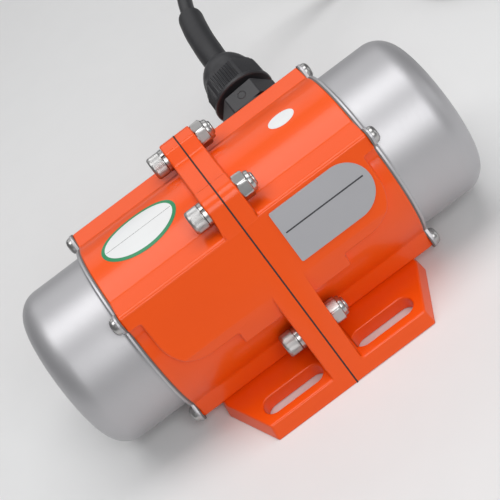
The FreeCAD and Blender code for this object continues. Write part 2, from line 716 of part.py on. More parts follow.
# ------------------------------------------------------------------ cable gland
# Each piece is drawn along +Y from the face it stands on, then stood on the back face.
HEX_AT = "($boss_height + $gland_washer)"
HEX_TOP = "(%s + $gland_hex_length)" % HEX_AT
CAP_AT = "(%s + $cap_gap)" % HEX_TOP
CAP_TOP = "(%s + $cap_length + $cap_dome)" % CAP_AT
NECK = "($cap_rim_radius - 2 * $cap_wall)"
NECK_TOP = "(%s + $cap_length)" % CAP_AT
GLAND_LIFT = "$axis_height + $gland_z"

washer_disc = cyl("gland_washer_disc", "$boss_radius - 0.5", "$gland_washer", "0", "$boss_height", "0", "Y")
washer_hole = cyl("gland_washer_hole", "$gland_thread", "4 * $gland_washer", "0",
                  "$boss_height - 2 * $gland_washer", "0", "Y")
node("gland_washer", leaning("washer_stood", cut("gland_washer_cut", washer_disc, washer_hole)), GLAND_LIFT)

hex_blank = hexagon("gland_hex", "$gland_flats", "$gland_hex_length", "0", HEX_AT, "0", "Y",
                    num("$gland_turn"))
hex_round = cyl("gland_hex_round", "0.985 * $gland_flats / sqrt(3)", "$gland_hex_length",
                "0", HEX_AT, "0", "Y")
spigot = cyl("gland_spigot", "$gland_thread - $thread_gap", "$gland_spigot", "0",
             "%s - $gland_spigot" % HEX_AT, "0", "Y")
neck = cyl("gland_neck", NECK, "%s - %s" % (NECK_TOP, HEX_AT), "0", HEX_AT, "0", "Y")
way = cyl("gland_way", "$cord_radius + $thread_gap", CAP_TOP + " + $gland_spigot",
          "0", "-$gland_spigot", "0", "Y")
seal_seat = cyl("gland_seat", "$gland_bore", "$seal_length",
                "0", "%s - $seal_length + 0.5" % NECK_TOP, "0", "Y")
hex_turned = common("gland_hex_turned", hex_blank, hex_round)
body_cut = cut("gland_body_cut", fuse("gland_blank", hex_turned, spigot, neck),
               fuse("gland_cuts", way, seal_seat))
node("gland_body", leaning("body_stood", body_cut), GLAND_LIFT)

seal_disc = cyl("gland_seal_disc", "$seal_radius", "$seal_length", "0",
                "%s - $seal_length + 0.5 + $thread_gap" % NECK_TOP, "0", "Y")
seal_hole = cyl("gland_seal_hole", "$cord_radius + $thread_gap / 2", CAP_TOP, "0", "0", "0", "Y")
node("gland_seal", leaning("seal_stood", cut("gland_seal_cut", seal_disc, seal_hole)), GLAND_LIFT)

cap_hex = hexagon("cap_hex", "$gland_flats", "$cap_length + $cap_dome", "0", CAP_AT, "0", "Y",
                  num("$cap_turn"))
# turned outside of the cap: rim, slight taper, then the dome in to the cable's mouth
cap_round = revolve("cap_round", outline("cap_profile", "XY", [
    ("0", "0"),
    ("$cap_rim_radius", "0"),
    ("$cap_rim_radius", "$cap_rim_length"),
    ("$cap_rim_radius - 0.8", "$cap_length"),
    ("$cap_rim_radius - 2.4", "$cap_length + 0.2 * $cap_dome", "$cap_dome_radius", 1),
    ("$cap_mouth", "$cap_length + $cap_dome"),
    ("0", "$cap_length + $cap_dome"),
]), Vector(0, 1, 0))
put(cap_round, "0", CAP_AT, "0")
cap_rim = cyl("cap_rim", "$cap_rim_radius", "$cap_rim_length", "0", CAP_AT, "0", "Y")
cap_in = cyl("cap_in", NECK + " + $thread_gap", "$cap_length + $cap_wall / 2",
             "0", "%s - $cap_wall / 2" % CAP_AT, "0", "Y")
cap_in2 = cyl("cap_in2", "$seal_radius + $thread_gap", "$cap_length + 0.4 * $cap_dome",
              "0", CAP_AT, "0", "Y")
cap_mouth = cyl("cap_mouth_bore", "$sleeve_radius + $mouth_gap", CAP_TOP, "0", CAP_AT, "0", "Y")
cap_cut = cut("gland_nut_cut", fuse("gland_nut_blank", common("cap_shaped", cap_hex, cap_round), cap_rim),
              fuse("cap_cuts", cap_in, cap_in2, cap_mouth))
node("gland_nut", leaning("cap_stood", cap_cut), GLAND_LIFT)

# ------------------------------------------------------------------------ cable
# The cable leaves the gland to the back, bends over to the floor and lies in a coil.
lean = math.atan(num("$face_slope"))
face_point = Vector(num("$gland_x"), num(skin("$gland_z")), num("$gland_z") + num("$axis_height"))
outward = Vector(0, math.cos(lean), math.sin(lean))
cap_top = num(CAP_TOP)
ROUTE = [
    face_point + outward * (cap_top - num("$cord_start")),
    face_point + outward * (cap_top + num("$cord_straight")),
    Vector(40.5, 119, 78),
    Vector(46.5, 138, 78),
    Vector(62, 157, 71),
    Vector(88, 170, 46),
    Vector(118, 175, 12),
    Vector(152, 175, num("$cord_radius") + 0.4),
    Vector(186, 175, num("$cord_radius") + 0.4),
]


def path(points, tell=None):
    """Straight runs joined by tangent arcs, each as large as its two runs allow."""
    edges, here = [], points[0]
    for before, at, after in zip(points, points[1:], points[2:]):
        u, w = (before - at), (after - at)
        run = min(u.Length, w.Length)
        u.normalize()
        w.normalize()
        half_turn = (math.pi - u.getAngle(w)) / 2
        radius = 0.45 * run / math.tan(half_turn)
        a, b = at + u * 0.45 * run, at + w * 0.45 * run
        middle = u + w
        middle.normalize()
        deep = radius / math.cos(half_turn) - radius
        edges.append(Part.LineSegment(here, a).toShape())
        edges.append(Part.Arc(a, at + middle * deep, b).toShape())
        if tell is not None:
            tell.append(radius)
        here = b
    edges.append(Part.LineSegment(here, points[-1]).toShape())
    return Part.Wire(edges)


def tube(points, radius, tell=None):
    wire = path(points, tell)
    start = (points[1] - points[0])
    start.normalize()
    ring = Part.Wire(Part.Circle(points[0], start, radius).toShape())
    return wire.makePipeShell([ring], True, False), wire.Length


radii = []
cord_shape, cord_length = tube(ROUTE, num("$cord_radius"), radii)
print("cord radii", [round(r, 1) for r in radii])
print("cord volume ratio", cord_shape.Volume / (math.pi * num("$cord_radius") ** 2 * cord_length),
      "length", round(cord_length, 1))
cord = doc.addObject("Part::Feature", "power_cord_tube")
cord.Shape = cord_shape
cord.Placement = Placement(Vector(0, 0, 0), Rotation())
node("power_cord", cord, lift="")

# heat-shrink sleeve over the first stretch of the cable, from inside the cap's mouth
spine_edges = path(ROUTE[:5]).Edges
sleeve_start = face_point + outward * (cap_top - 0.6 * num("$cap_dome"))
straight_end = spine_edges[0].Vertexes[-1].Point
second_run = spine_edges[2]
run_from = second_run.Vertexes[0].Point
run_on = second_run.Vertexes[-1].Point - run_from
rest = num("$sleeve_length") - (straight_end - sleeve_start).Length - spine_edges[1].Length
spine = Part.Wire([
    Part.LineSegment(sleeve_start, straight_end).toShape(),
    spine_edges[1],
    Part.LineSegment(run_from, run_from + run_on.normalize() * rest).toShape(),
])
walls = []
for radius in (num("$sleeve_radius"), num("$cord_radius") + num("$sleeve_gap")):
    ring = Part.Wire(Part.Circle(sleeve_start, outward, radius).toShape())
    walls.append(spine.makePipeShell([ring], True, False))
sleeve = doc.addObject("Part::Feature", "cable_sleeve_tube")
sleeve.Shape = walls[0].cut(walls[1])
sleeve.Placement = Placement(Vector(0, 0, 0), Rotation())
node("cable_sleeve", sleeve, lift="")

# coil on the floor: one closed ring of the bundle's outer shape, which the cable joins
# on its outer turn
heading = ROUTE[-1] - ROUTE[-2]
heading.z = 0
heading.normalize()
across = Vector(heading.y, -heading.x, 0)
centre = ROUTE[-1] + across * (num("$coil_radius") + num("$coil_bundle") / 2)
flat = "($coil_bundle * 0.414)"
coil = revolve("cord_coil_ring", outline("coil_section", "XZ", [
    ("$coil_radius - " + flat, "-$coil_bundle"),
    ("$coil_radius + " + flat, "-$coil_bundle"),
    ("$coil_radius + $coil_bundle", "-" + flat),
    ("$coil_radius + $coil_bundle", flat),
    ("$coil_radius + " + flat, "$coil_bundle"),
    ("$coil_radius - " + flat, "$coil_bundle"),
    ("$coil_radius - $coil_bundle", flat),
    ("$coil_radius - $coil_bundle", "-" + flat),
]), Vector(0, 0, 1))
coil.Placement = Placement(Vector(centre.x, centre.y, num("$coil_bundle") + 0.1), Rotation())
node("cord_coil", coil, lift="")

# ------------------------------------------------------------------ check, write
doc.recompute()
bad = []
for obj in doc.Objects:
    if "Invalid" in obj.State or "Error" in obj.State:
        bad.append("%s %s" % (obj.Name, obj.State))
for label, obj in NODES:
    shape = getattr(obj, "Shape", None)
    if shape is None or shape.isNull() or not shape.isValid() or not shape.Solids:
        bad.append("%s has no valid solid" % label)
if bad:
    raise RuntimeError("; ".join(bad))
os.makedirs("parts", exist_ok=True)
for label, obj in NODES:
    obj.Shape.exportStep("parts/%s.step" % label)
    bb = obj.Shape.BoundBox
    print("%-26s solids %d vol %10.1f" % (label, len(obj.Shape.Solids), obj.Shape.Volume),
          "x %.1f..%.1f y %.1f..%.1f z %.1f..%.1f" % (bb.XMin, bb.XMax, bb.YMin, bb.YMax, bb.ZMin, bb.ZMax))
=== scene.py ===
# %% [markdown]
# A small vibration motor: an orange cast housing in two halves, a drawn aluminium cup
# over the weights at each end, steel fasteners and a black cable gland at the back.
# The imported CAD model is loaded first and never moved. Pieces whose finish needs finer
# shape than the CAD solids carry are made here and stand in for those solids.

import bmesh
import bpy
import numpy as np
from mathutils import Matrix, Vector


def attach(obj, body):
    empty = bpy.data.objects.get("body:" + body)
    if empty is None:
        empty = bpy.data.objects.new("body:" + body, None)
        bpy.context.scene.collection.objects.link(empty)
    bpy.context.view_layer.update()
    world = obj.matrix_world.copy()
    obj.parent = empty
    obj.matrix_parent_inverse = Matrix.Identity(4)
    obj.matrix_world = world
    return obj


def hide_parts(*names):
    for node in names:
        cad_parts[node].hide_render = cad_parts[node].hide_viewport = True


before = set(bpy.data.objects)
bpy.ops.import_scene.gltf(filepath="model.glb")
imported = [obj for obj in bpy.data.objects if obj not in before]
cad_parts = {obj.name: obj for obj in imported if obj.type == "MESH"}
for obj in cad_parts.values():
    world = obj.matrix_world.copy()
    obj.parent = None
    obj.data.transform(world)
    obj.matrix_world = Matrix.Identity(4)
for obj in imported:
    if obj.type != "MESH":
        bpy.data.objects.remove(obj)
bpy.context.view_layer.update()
MM = 0.001
BODY = "frame"          # every new piece rides on the housing
AXIS_Z = 40.0 * MM      # the shaft's height over the floor
FACE_SLOPE = 0.393      # the long faces lean in by this much for each unit of height

# %% [markdown]
# The camera stands in front and well above, turned about its own line of sight, so the
# motor lies diagonally across the picture. Its place is worked out from four numbers:
# how high it looks down from, how far it is rolled, how far away it is, and its lens.

# %% Camera
CAMERA_UP = np.radians(38.98)
CAMERA_ROLL = np.radians(36.89)
CAMERA_AWAY = 517.4 * MM
CAMERA_LENS = 90.5
LOOK_AT = Vector((-2.73 * MM, 0.0, AXIS_Z - 3.35 * MM))

toward = Vector((0, -np.cos(CAMERA_UP), np.sin(CAMERA_UP)))
level_up = Vector((0, np.sin(CAMERA_UP), np.cos(CAMERA_UP)))
right = Vector((1, 0, 0)) * np.cos(CAMERA_ROLL) - level_up * np.sin(CAMERA_ROLL)
up = Vector((1, 0, 0)) * np.sin(CAMERA_ROLL) + level_up * np.cos(CAMERA_ROLL)
camera_data = bpy.data.cameras.new("camera")
camera_data.lens = CAMERA_LENS
camera_data.sensor_width = 36.0
camera = bpy.data.objects.new("camera", camera_data)
turn = Matrix((right, up, toward)).transposed().to_4x4()
camera.matrix_world = Matrix.Translation(LOOK_AT + toward * CAMERA_AWAY) @ turn
bpy.context.collection.objects.link(camera)
bpy.context.scene.camera = camera
print("camera at", [round(v, 3) for v in camera.matrix_world.translation])

# %% [markdown]
# Studio light is soft: wide lamps give the paint long, quiet highlights and the cups a
# broad white band, and one lamp from behind lays a sheen on the top faces.

# %% Lamps and world
LAMPS = [    # name, place and aim in metres, width and height in metres, watts
    ("lamp_over", (0.0, 0.06, 0.85), (0, 0, 0.04), (1.0, 0.42), 4.4),
    ("lamp_front", (0.12, -0.72, 0.62), (0, 0, 0.04), (0.6, 0.5), 3.7),
    ("lamp_side", (0.85, -0.2, 0.35), (0, 0, 0.04), (0.4, 0.5), 0.6),
    ("lamp_back", (0.0, 0.80, 0.62), (0, 0, 0.06), (1.1, 0.5), 1.5),
]
WORLD_TINT = (0.92, 0.93, 0.95, 1)
WORLD_STRENGTH = 0.20


def lamp(name, place, look, size, watts):
    """A rectangular area lamp at place, facing look."""
    data = bpy.data.lights.new(name, "AREA")
    data.shape = "RECTANGLE"
    data.size, data.size_y = size
    data.energy = watts
    obj = bpy.data.objects.new(name, data)
    obj.location = place
    obj.rotation_euler = (Vector(look) - Vector(place)).to_track_quat("-Z", "Y").to_euler()
    bpy.context.collection.objects.link(obj)


for row in LAMPS:
    lamp(*row)
world = bpy.data.worlds.new("studio")
world.use_nodes = True
background = world.node_tree.nodes["Background"]
background.inputs["Color"].default_value = WORLD_TINT
background.inputs["Strength"].default_value = WORLD_STRENGTH
bpy.context.scene.world = world
bpy.context.scene.view_settings.view_transform = "Standard"
print(len(LAMPS), "lamps")

# %% [markdown]
# Every new piece is a surface worked out on a grid of two parameters. The whole grid is
# one numpy array, so no loop walks over its points, and the mesh takes it in one call.


# %% Grid surfaces
def mesh_from_grid(name, points, wrap_u=False, wrap_v=False, cap=False):
    """points is an array (rows, columns, 3). Neighbouring points are joined in quads;
    wrap_u joins the last row to the first, wrap_v the last column to the first, and cap
    closes the first and last rows with one face each."""
    rows, cols = points.shape[:2]
    index = np.arange(rows * cols).reshape(rows, cols)
    a = np.vstack([index, index[:1]]) if wrap_u else index
    a = np.hstack([a, a[:, :1]]) if wrap_v else a
    quads = np.stack([a[:-1, :-1], a[:-1, 1:], a[1:, 1:], a[1:, :-1]], axis=-1).reshape(-1, 4)
    faces = quads.tolist()
    if cap:
        faces += [index[0][::-1].tolist(), index[-1].tolist()]
    mesh = bpy.data.meshes.new(name)
    mesh.from_pydata(points.reshape(-1, 3).tolist(), [], faces)
    mesh.validate()
    return mesh


def tidy_mesh(mesh, merge=1e-6, smooth_angle=32.0):
    """Doubles are merged, faces turned outwards, and edges sharper than the angle kept."""
    bm = bmesh.new()
    bm.from_mesh(mesh)
    bmesh.ops.remove_doubles(bm, verts=bm.verts, dist=merge)
    bmesh.ops.dissolve_degenerate(bm, edges=bm.edges, dist=merge)
    bmesh.ops.recalc_face_normals(bm, faces=bm.faces)
    for face in bm.faces:
        face.smooth = True
    for edge in bm.edges:
        if len(edge.link_faces) == 2:
            edge.smooth = bool(edge.calc_face_angle(0.0) < np.radians(smooth_angle))
    bm.to_mesh(mesh)
    bm.free()
    return mesh


def piece(name, meshes, body, material, replaces=()):
    """One object from one or more meshes, riding on a body, with its material."""
    bm = bmesh.new()
    for mesh in meshes:
        bm.from_mesh(mesh)
    whole = bpy.data.meshes.new(name)
    bm.to_mesh(whole)
    bm.free()
    whole.materials.append(material)
    obj = bpy.data.objects.new(name, whole)
    bpy.context.collection.objects.link(obj)
    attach(obj, body)
    if replaces:
        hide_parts(*replaces)
    print(name, len(whole.polygons), "faces")
    return obj


WIDE = 1.0    # flats this wide leave a row of a turned form round


def turned(name, rows, at, along, steps=96, phase=0.0, shape=None):
    """A turned form: each row is (distance along the axis, half the width across flats,
    greatest radius). At an angle, the radius is the smaller of the hexagon's edge there
    and the greatest radius, so a row with wide flats is round. shape may add a height to
    each point: shape(angle, distance, radius). The axis may not be upright."""
    rows = np.asarray(rows, float)
    angle = np.linspace(0, 2 * np.pi, steps, endpoint=False)
    folded = (angle + phase + np.pi / 6) % (np.pi / 3) - np.pi / 6
    hexagon = rows[:, 1:2] / np.cos(folded)[None, :]
    radius = np.minimum(hexagon, rows[:, 2:3])
    if shape is not None:
        radius = radius + shape(angle[None, :], rows[:, 0:1], radius)
    axis = Vector(along).normalized()
    side = axis.cross(Vector((0, 0, 1))).normalized()
    other = axis.cross(side)
    pts = (
        np.array(at)[None, None, :]
        + rows[:, 0][:, None, None] * np.array(axis)[None, None, :]
        + (radius * np.cos(angle)[None, :])[..., None] * np.array(side)
        + (radius * np.sin(angle)[None, :])[..., None] * np.array(other)
    )
    return tidy_mesh(mesh_from_grid(name, pts, wrap_v=True, cap=True))


# %% [markdown]
# The finishes share two effects, each a node group with its own inputs: fine grain, which
# feeds roughness and bump, and soft mottling of the colour.


# %% Shared shader groups
def group_tree(name, inputs, outputs):
    """An empty shader group with named inputs (name, kind, value) and outputs."""
    tree = bpy.data.node_groups.new(name, "ShaderNodeTree")
    for label, kind, value in inputs:
        socket = tree.interface.new_socket(label, in_out="INPUT", socket_type=kind)
        if value is not None:
            socket.default_value = value
    for label, kind in outputs:
        tree.interface.new_socket(label, in_out="OUTPUT", socket_type=kind)
    return tree, tree.nodes.new("NodeGroupInput"), tree.nodes.new("NodeGroupOutput")


def wire(tree, source, target):
    """Joins one node's output to another's input."""
    tree.links.new(source, target)


def math_node(tree, operation, *values):
    """The result of one operation on numbers or sockets."""
    node = tree.nodes.new("ShaderNodeMath")
    node.operation = operation
    for socket, value in zip(node.inputs, values):
        if isinstance(value, (int, float)):
            socket.default_value = value
        else:
            wire(tree, value, socket)
    return node.outputs[0]


def noise_node(tree, vector, scale, detail, rough=0.5):
    """Noise between 0 and 1 at a point; scale may be a number or a socket."""
    node = tree.nodes.new("ShaderNodeTexNoise")
    node.inputs["Detail"].default_value = detail
    node.inputs["Roughness"].default_value = rough
    if isinstance(scale, (int, float)):
        node.inputs["Scale"].default_value = scale
    else:
        wire(tree, scale, node.inputs["Scale"])
    wire(tree, vector, node.inputs["Vector"])
    return node.outputs["Fac"]


grain, grain_in, grain_out = group_tree(
    "grain",
    [("Vector", "NodeSocketVector", None), ("Scale", "NodeSocketFloat", 900.0),
     ("Middle", "NodeSocketFloat", 0.4), ("Spread", "NodeSocketFloat", 0.1)],
    [("Roughness", "NodeSocketFloat"), ("Height", "NodeSocketFloat")],
)
fine = noise_node(grain, grain_in.outputs["Vector"], grain_in.outputs["Scale"], 4.0, 0.6)
centred = math_node(grain, "SUBTRACT", fine, 0.5)
spread = math_node(grain, "MULTIPLY", centred, grain_in.outputs["Spread"])
around_middle = math_node(grain, "ADD", spread, grain_in.outputs["Middle"])
wire(grain, around_middle, grain_out.inputs["Roughness"])
wire(grain, fine, grain_out.inputs["Height"])

mottle, mottle_in, mottle_out = group_tree(
    "mottle",
    [("Vector", "NodeSocketVector", None), ("Scale", "NodeSocketFloat", 60.0),
     ("Light", "NodeSocketColor", (1, 1, 1, 1)), ("Dark", "NodeSocketColor", (0, 0, 0, 1))],
    [("Color", "NodeSocketColor")],
)
cloud = noise_node(mottle, mottle_in.outputs["Vector"], mottle_in.outputs["Scale"], 2.0)
mixer = mottle.nodes.new("ShaderNodeMix")
mixer.data_type = "RGBA"
wire(mottle, cloud, mixer.inputs["Factor"])
wire(mottle, mottle_in.outputs["Dark"], mixer.inputs["A"])
wire(mottle, mottle_in.outputs["Light"], mixer.inputs["B"])
wire(mottle, mixer.outputs["Result"], mottle_out.inputs["Color"])
print("shader groups", grain.name, mottle.name)


def finish_of(name, light, dark, metal=0.0, rough=0.4, spread=0.1, grain_scale=900.0,
              mottle_scale=60.0, bump=0.05, bump_size=0.0001, stretch=(1, 1, 1), coat=0.0,
              coat_rough=0.1, second_bump=None, specular=0.5):
    """A Principled finish: mottled colour, grained roughness, bump from the same grain.
    second_bump (scale, share) adds a wider ripple to the bump."""
    mat = bpy.data.materials.new(name)
    mat.use_nodes = True
    tree = mat.node_tree
    shader = tree.nodes["Principled BSDF"]
    coord = tree.nodes.new("ShaderNodeTexCoord")
    mapping = tree.nodes.new("ShaderNodeMapping")
    mapping.inputs["Scale"].default_value = stretch
    wire(tree, coord.outputs["Object"], mapping.inputs["Vector"])
    tone = tree.nodes.new("ShaderNodeGroup")
    tone.node_tree = mottle
    tone.inputs["Scale"].default_value = mottle_scale
    tone.inputs["Light"].default_value = (*light, 1)
    tone.inputs["Dark"].default_value = (*dark, 1)
    wire(tree, coord.outputs["Object"], tone.inputs["Vector"])
    wire(tree, tone.outputs["Color"], shader.inputs["Base Color"])
    grit = tree.nodes.new("ShaderNodeGroup")
    grit.node_tree = grain
    grit.inputs["Scale"].default_value = grain_scale
    grit.inputs["Middle"].default_value = rough
    grit.inputs["Spread"].default_value = spread
    wire(tree, mapping.outputs["Vector"], grit.inputs["Vector"])
    wire(tree, grit.outputs["Roughness"], shader.inputs["Roughness"])
    node = tree.nodes.new("ShaderNodeBump")
    node.inputs["Strength"].default_value = bump
    node.inputs["Distance"].default_value = bump_size
    height = grit.outputs["Height"]
    if second_bump:
        scale, share = second_bump
        ripple = noise_node(tree, coord.outputs["Object"], scale, 1.0)
        height = math_node(tree, "MULTIPLY_ADD", ripple, share, height)
    wire(tree, height, node.inputs["Height"])
    wire(tree, node.outputs["Normal"], shader.inputs["Normal"])
    shader.inputs["Metallic"].default_value = metal
    shader.inputs["Specular IOR Level"].default_value = specular
    shader.inputs["Coat Weight"].default_value = coat
    shader.inputs["Coat Roughness"].default_value = coat_rough
    return mat


# %% [markdown]
# The finishes of this motor. The enamel is a saturated orange with a hard gloss over a
# faint ripple; the cups are satin aluminium with fine drawing lines round the axis.

# %% Finishes
PAINT = finish_of("orange_enamel", (0.92, 0.094, 0.0020), (0.87, 0.084, 0.0015),
    rough=0.36, spread=0.06, grain_scale=1500, mottle_scale=35, bump=0.06, bump_size=0.00005,
    coat=0.30, coat_rough=0.14, second_bump=(380, 1.2), specular=0.30)
ALUMINIUM = finish_of("satin_aluminium", (0.53, 0.525, 0.54), (0.485, 0.48, 0.495),
    metal=0.72, rough=0.46, spread=0.08, grain_scale=500, mottle_scale=30, bump=0.03,
    bump_size=0.00003, stretch=(3.0, 0.6, 0.6))
STEEL = finish_of("bright_steel", (0.55, 0.54, 0.53), (0.45, 0.445, 0.44),
    metal=1.0, rough=0.29, spread=0.06, grain_scale=900, mottle_scale=300, bump=0.02,
    bump_size=0.00002)
SATIN_STEEL = finish_of("satin_steel", (0.46, 0.455, 0.45), (0.42, 0.415, 0.41),
    metal=1.0, rough=0.36, spread=0.10, grain_scale=1200, mottle_scale=300, bump=0.05,
    bump_size=0.00002)
DARK_STEEL = finish_of("dull_steel", (0.42, 0.42, 0.43), (0.30, 0.30, 0.31),
    metal=1.0, rough=0.42, spread=0.15, grain_scale=1200, bump=0.15, bump_size=0.00004)
IRON = finish_of("oiled_iron", (0.22, 0.22, 0.23), (0.14, 0.14, 0.15),
    metal=0.9, rough=0.48, spread=0.2, grain_scale=800, bump=0.3, bump_size=0.00008)
COPPER = finish_of("varnished_copper", (0.55, 0.20, 0.07), (0.40, 0.12, 0.04),
    metal=0.6, rough=0.3, grain_scale=500, bump=0.4, bump_size=0.0002, coat=0.5)
PAPER = finish_of("dark_gasket", (0.035, 0.030, 0.028), (0.020, 0.018, 0.016),
    rough=0.75, spread=0.1, grain_scale=1500, bump=0.3, bump_size=0.00006)
FIBRE = finish_of("grey_fibre", (0.20, 0.19, 0.185), (0.14, 0.135, 0.13),
    rough=0.8, spread=0.1, grain_scale=1500, bump=0.2, bump_size=0.00005)
NYLON = finish_of("black_nylon", (0.026, 0.026, 0.029), (0.019, 0.019, 0.022),
    rough=0.44, spread=0.12, grain_scale=2200, bump=0.25, bump_size=0.00005)
RUBBER = finish_of("black_rubber", (0.024, 0.024, 0.027), (0.017, 0.017, 0.019),
    rough=0.50, spread=0.1, grain_scale=1600, bump=0.2, bump_size=0.00005)
JACKET = finish_of("cable_jacket", (0.028, 0.028, 0.031), (0.018, 0.018, 0.020),
    rough=0.42, spread=0.1, grain_scale=1300, bump=0.15, bump_size=0.00005)
WHITE_NYLON = finish_of("white_nylon", (0.75, 0.76, 0.74), (0.68, 0.69, 0.67),
    rough=0.4, bump=0.05)
PLATE = finish_of("silver_foil", (0.47, 0.47, 0.49), (0.42, 0.42, 0.44),
    metal=0.35, rough=0.40, spread=0.06, grain_scale=1100, mottle_scale=30, bump=0.05,
    bump_size=0.00003)
LABEL = finish_of("label_white", (0.82, 0.83, 0.83), (0.76, 0.77, 0.77),
    rough=0.35, bump=0.03)
GREEN = finish_of("label_green", (0.015, 0.28, 0.11), (0.012, 0.22, 0.09),
    rough=0.38, bump=0.03)
INK = finish_of("label_ink", (0.05, 0.05, 0.055), (0.03, 0.03, 0.035),
    rough=0.5, bump=0.03)
print(len(bpy.data.materials), "finishes")

# %% [markdown]
# The CAD solids take their finishes by name: a few are listed, cast weights are iron,
# housings are painted, and bearings, clips, screws and the rest are bright steel.

# %% Finishes of the CAD solids
FINISH_OF_NODE = {
    "left_end_cover": ALUMINIUM, "right_end_cover": ALUMINIUM,
    "flange_gasket": PAPER, "left_cover_gasket": FIBRE, "right_cover_gasket": FIBRE,
    "stator_core": DARK_STEEL, "rotor_core": DARK_STEEL, "stator_windings": COPPER,
    "shaft": STEEL, "gland_washer": RUBBER, "gland_seal": RUBBER, "gland_body": NYLON,
}


def finish_for(name):
    """The finish of a CAD solid, from its name."""
    if name in FINISH_OF_NODE:
        return FINISH_OF_NODE[name]
    if name.endswith("_weight"):
        return IRON
    return PAINT if "housing" in name else STEEL


for name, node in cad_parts.items():
    node.data.materials.clear()
    node.data.materials.append(finish_for(name))
    node.data.polygons.foreach_set("material_index", np.zeros(len(node.data.polygons), np.int32))
print(len(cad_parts), "solids have a finish")

# %% [markdown]
# A casting has no knife edges. Each housing half is copied from the CAD solid, its
# triangles are joined back into flat faces, and a small rounded bevel is put on every
# real corner, so edges catch the light as the painted ones do. The joint between the
# halves keeps nearly sharp edges, because a wide bevel there would open a gap. One fault
# is left in these copies and not in the CAD solids: on the two end faces behind the cups,
# and on the wall behind the gland, some triangles fold over each other.

# %% Housing halves
POST_TOP, POST_ROUND = 34.1 * MM, 2.2 * MM          # the corner posts, over the shaft
LEDGE = AXIS_Z + POST_TOP - 0.4 * POST_ROUND        # a panel's top edge ends in the round
LEDGE_REACH, LEDGE_MERGE = 0.06 * MM, 0.5 * MM
DOUBLES = 2e-6
FLAT_ANGLE, BEVEL_ANGLE, SHARP_ANGLE = np.radians((0.6, 28.0, 50.0))
EDGE_ROUND = 0.8 * MM
JOINT_REACH, JOINT_SHARE = 1.0 * MM, 0.2            # share of the round that joint edges get


def softened(name, node):
    """A copy of a CAD half with its doubles merged, its flat areas made single faces and
    every corner sharper than BEVEL_ANGLE rounded to EDGE_ROUND."""
    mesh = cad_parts[node].data.copy()
    mesh.name = name
    bm = bmesh.new()
    bm.from_mesh(mesh)
    bmesh.ops.remove_doubles(bm, verts=bm.verts, dist=DOUBLES)
    ledge = [v for v in bm.verts if abs(v.co.z - LEDGE) < LEDGE_REACH]
    bmesh.ops.remove_doubles(bm, verts=ledge, dist=LEDGE_MERGE)
    bmesh.ops.dissolve_limit(bm, angle_limit=FLAT_ANGLE, verts=bm.verts, edges=bm.edges)
    for face in bm.faces:
        face.smooth = True
    share = bm.edges.layers.float.new("bevel_weight_edge")
    for edge in bm.edges:
        bend = edge.calc_face_angle(0.0) if len(edge.link_faces) == 2 else 0.0
        edge.smooth = bool(bend <= SHARP_ANGLE)
        at_joint = max(abs(v.co.x) for v in edge.verts) < JOINT_REACH
        edge[share] = (JOINT_SHARE if at_joint else 1.0) if bend > BEVEL_ANGLE else 0.0
    bm.to_mesh(mesh)
    bm.free()
    mesh.materials.clear()
    mesh.materials.append(PAINT)
    obj = bpy.data.objects.new(name, mesh)
    bpy.context.collection.objects.link(obj)
    bevel = obj.modifiers.new("bevel", "BEVEL")
    bevel.width = EDGE_ROUND
    bevel.segments = 3
    bevel.limit_method = "WEIGHT"
    bevel.use_clamp_overlap = False
    bevel.harden_normals = False
    bevel.miter_outer = "MITER_ARC"
    normals = obj.modifiers.new("weighted", "WEIGHTED_NORMAL")
    normals.keep_sharp = False
    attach(obj, BODY)
    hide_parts(node)
    print(name, len(mesh.polygons), "faces before the bevel")


softened("left_casting", "left_housing")
softened("right_casting", "right_housing")

# %% [markdown]
# The flange bolts are socket-head screws with a fine straight knurl round the head. Each
# is one turned surface: up the outside with the knurl, over the rounded rim, down the
# hexagon socket. They share one profile and sit at the places of the four holes.

# %% Sizes of the flange bolts
FLANGE_FACE = 7.3 * MM
WASHER = 1.6 * MM
HEAD_R, HEAD_H, SHANK_R = 5.0 * MM, 6.0 * MM, 3.0 * MM
KNURLS, KNURL_DEEP = 60, 0.13 * MM
KNURL_FROM, KNURL_TO = WASHER + 0.57 * MM, WASHER + 4.72 * MM
NUT_FLAT, NUT_H, COLLAR_H = 5.0 * MM, 4.9 * MM, 1.9 * MM
NUT_TURN_TOP, NUT_TURN_LOW = np.radians(22.5), np.radians(9)
BOLT_PLACES = [(-22.5, 41.7), (22.5, 41.7), (-41.6, -19.8), (41.6, -19.8)]
print(len(BOLT_PLACES), "bolts")


# %% Bolt heads and tips
def knurl(angle, distance, radius):
    """Fine ridges round a head: the depth times a raised cosine of the angle, between two
    distances along the axis and only on the outside."""
    ridged = (distance > KNURL_FROM) & (distance < KNURL_TO) & (radius > 0.8 * HEAD_R)
    return np.where(ridged, -KNURL_DEEP * (0.5 - 0.5 * np.cos(angle * KNURLS)), 0.0)


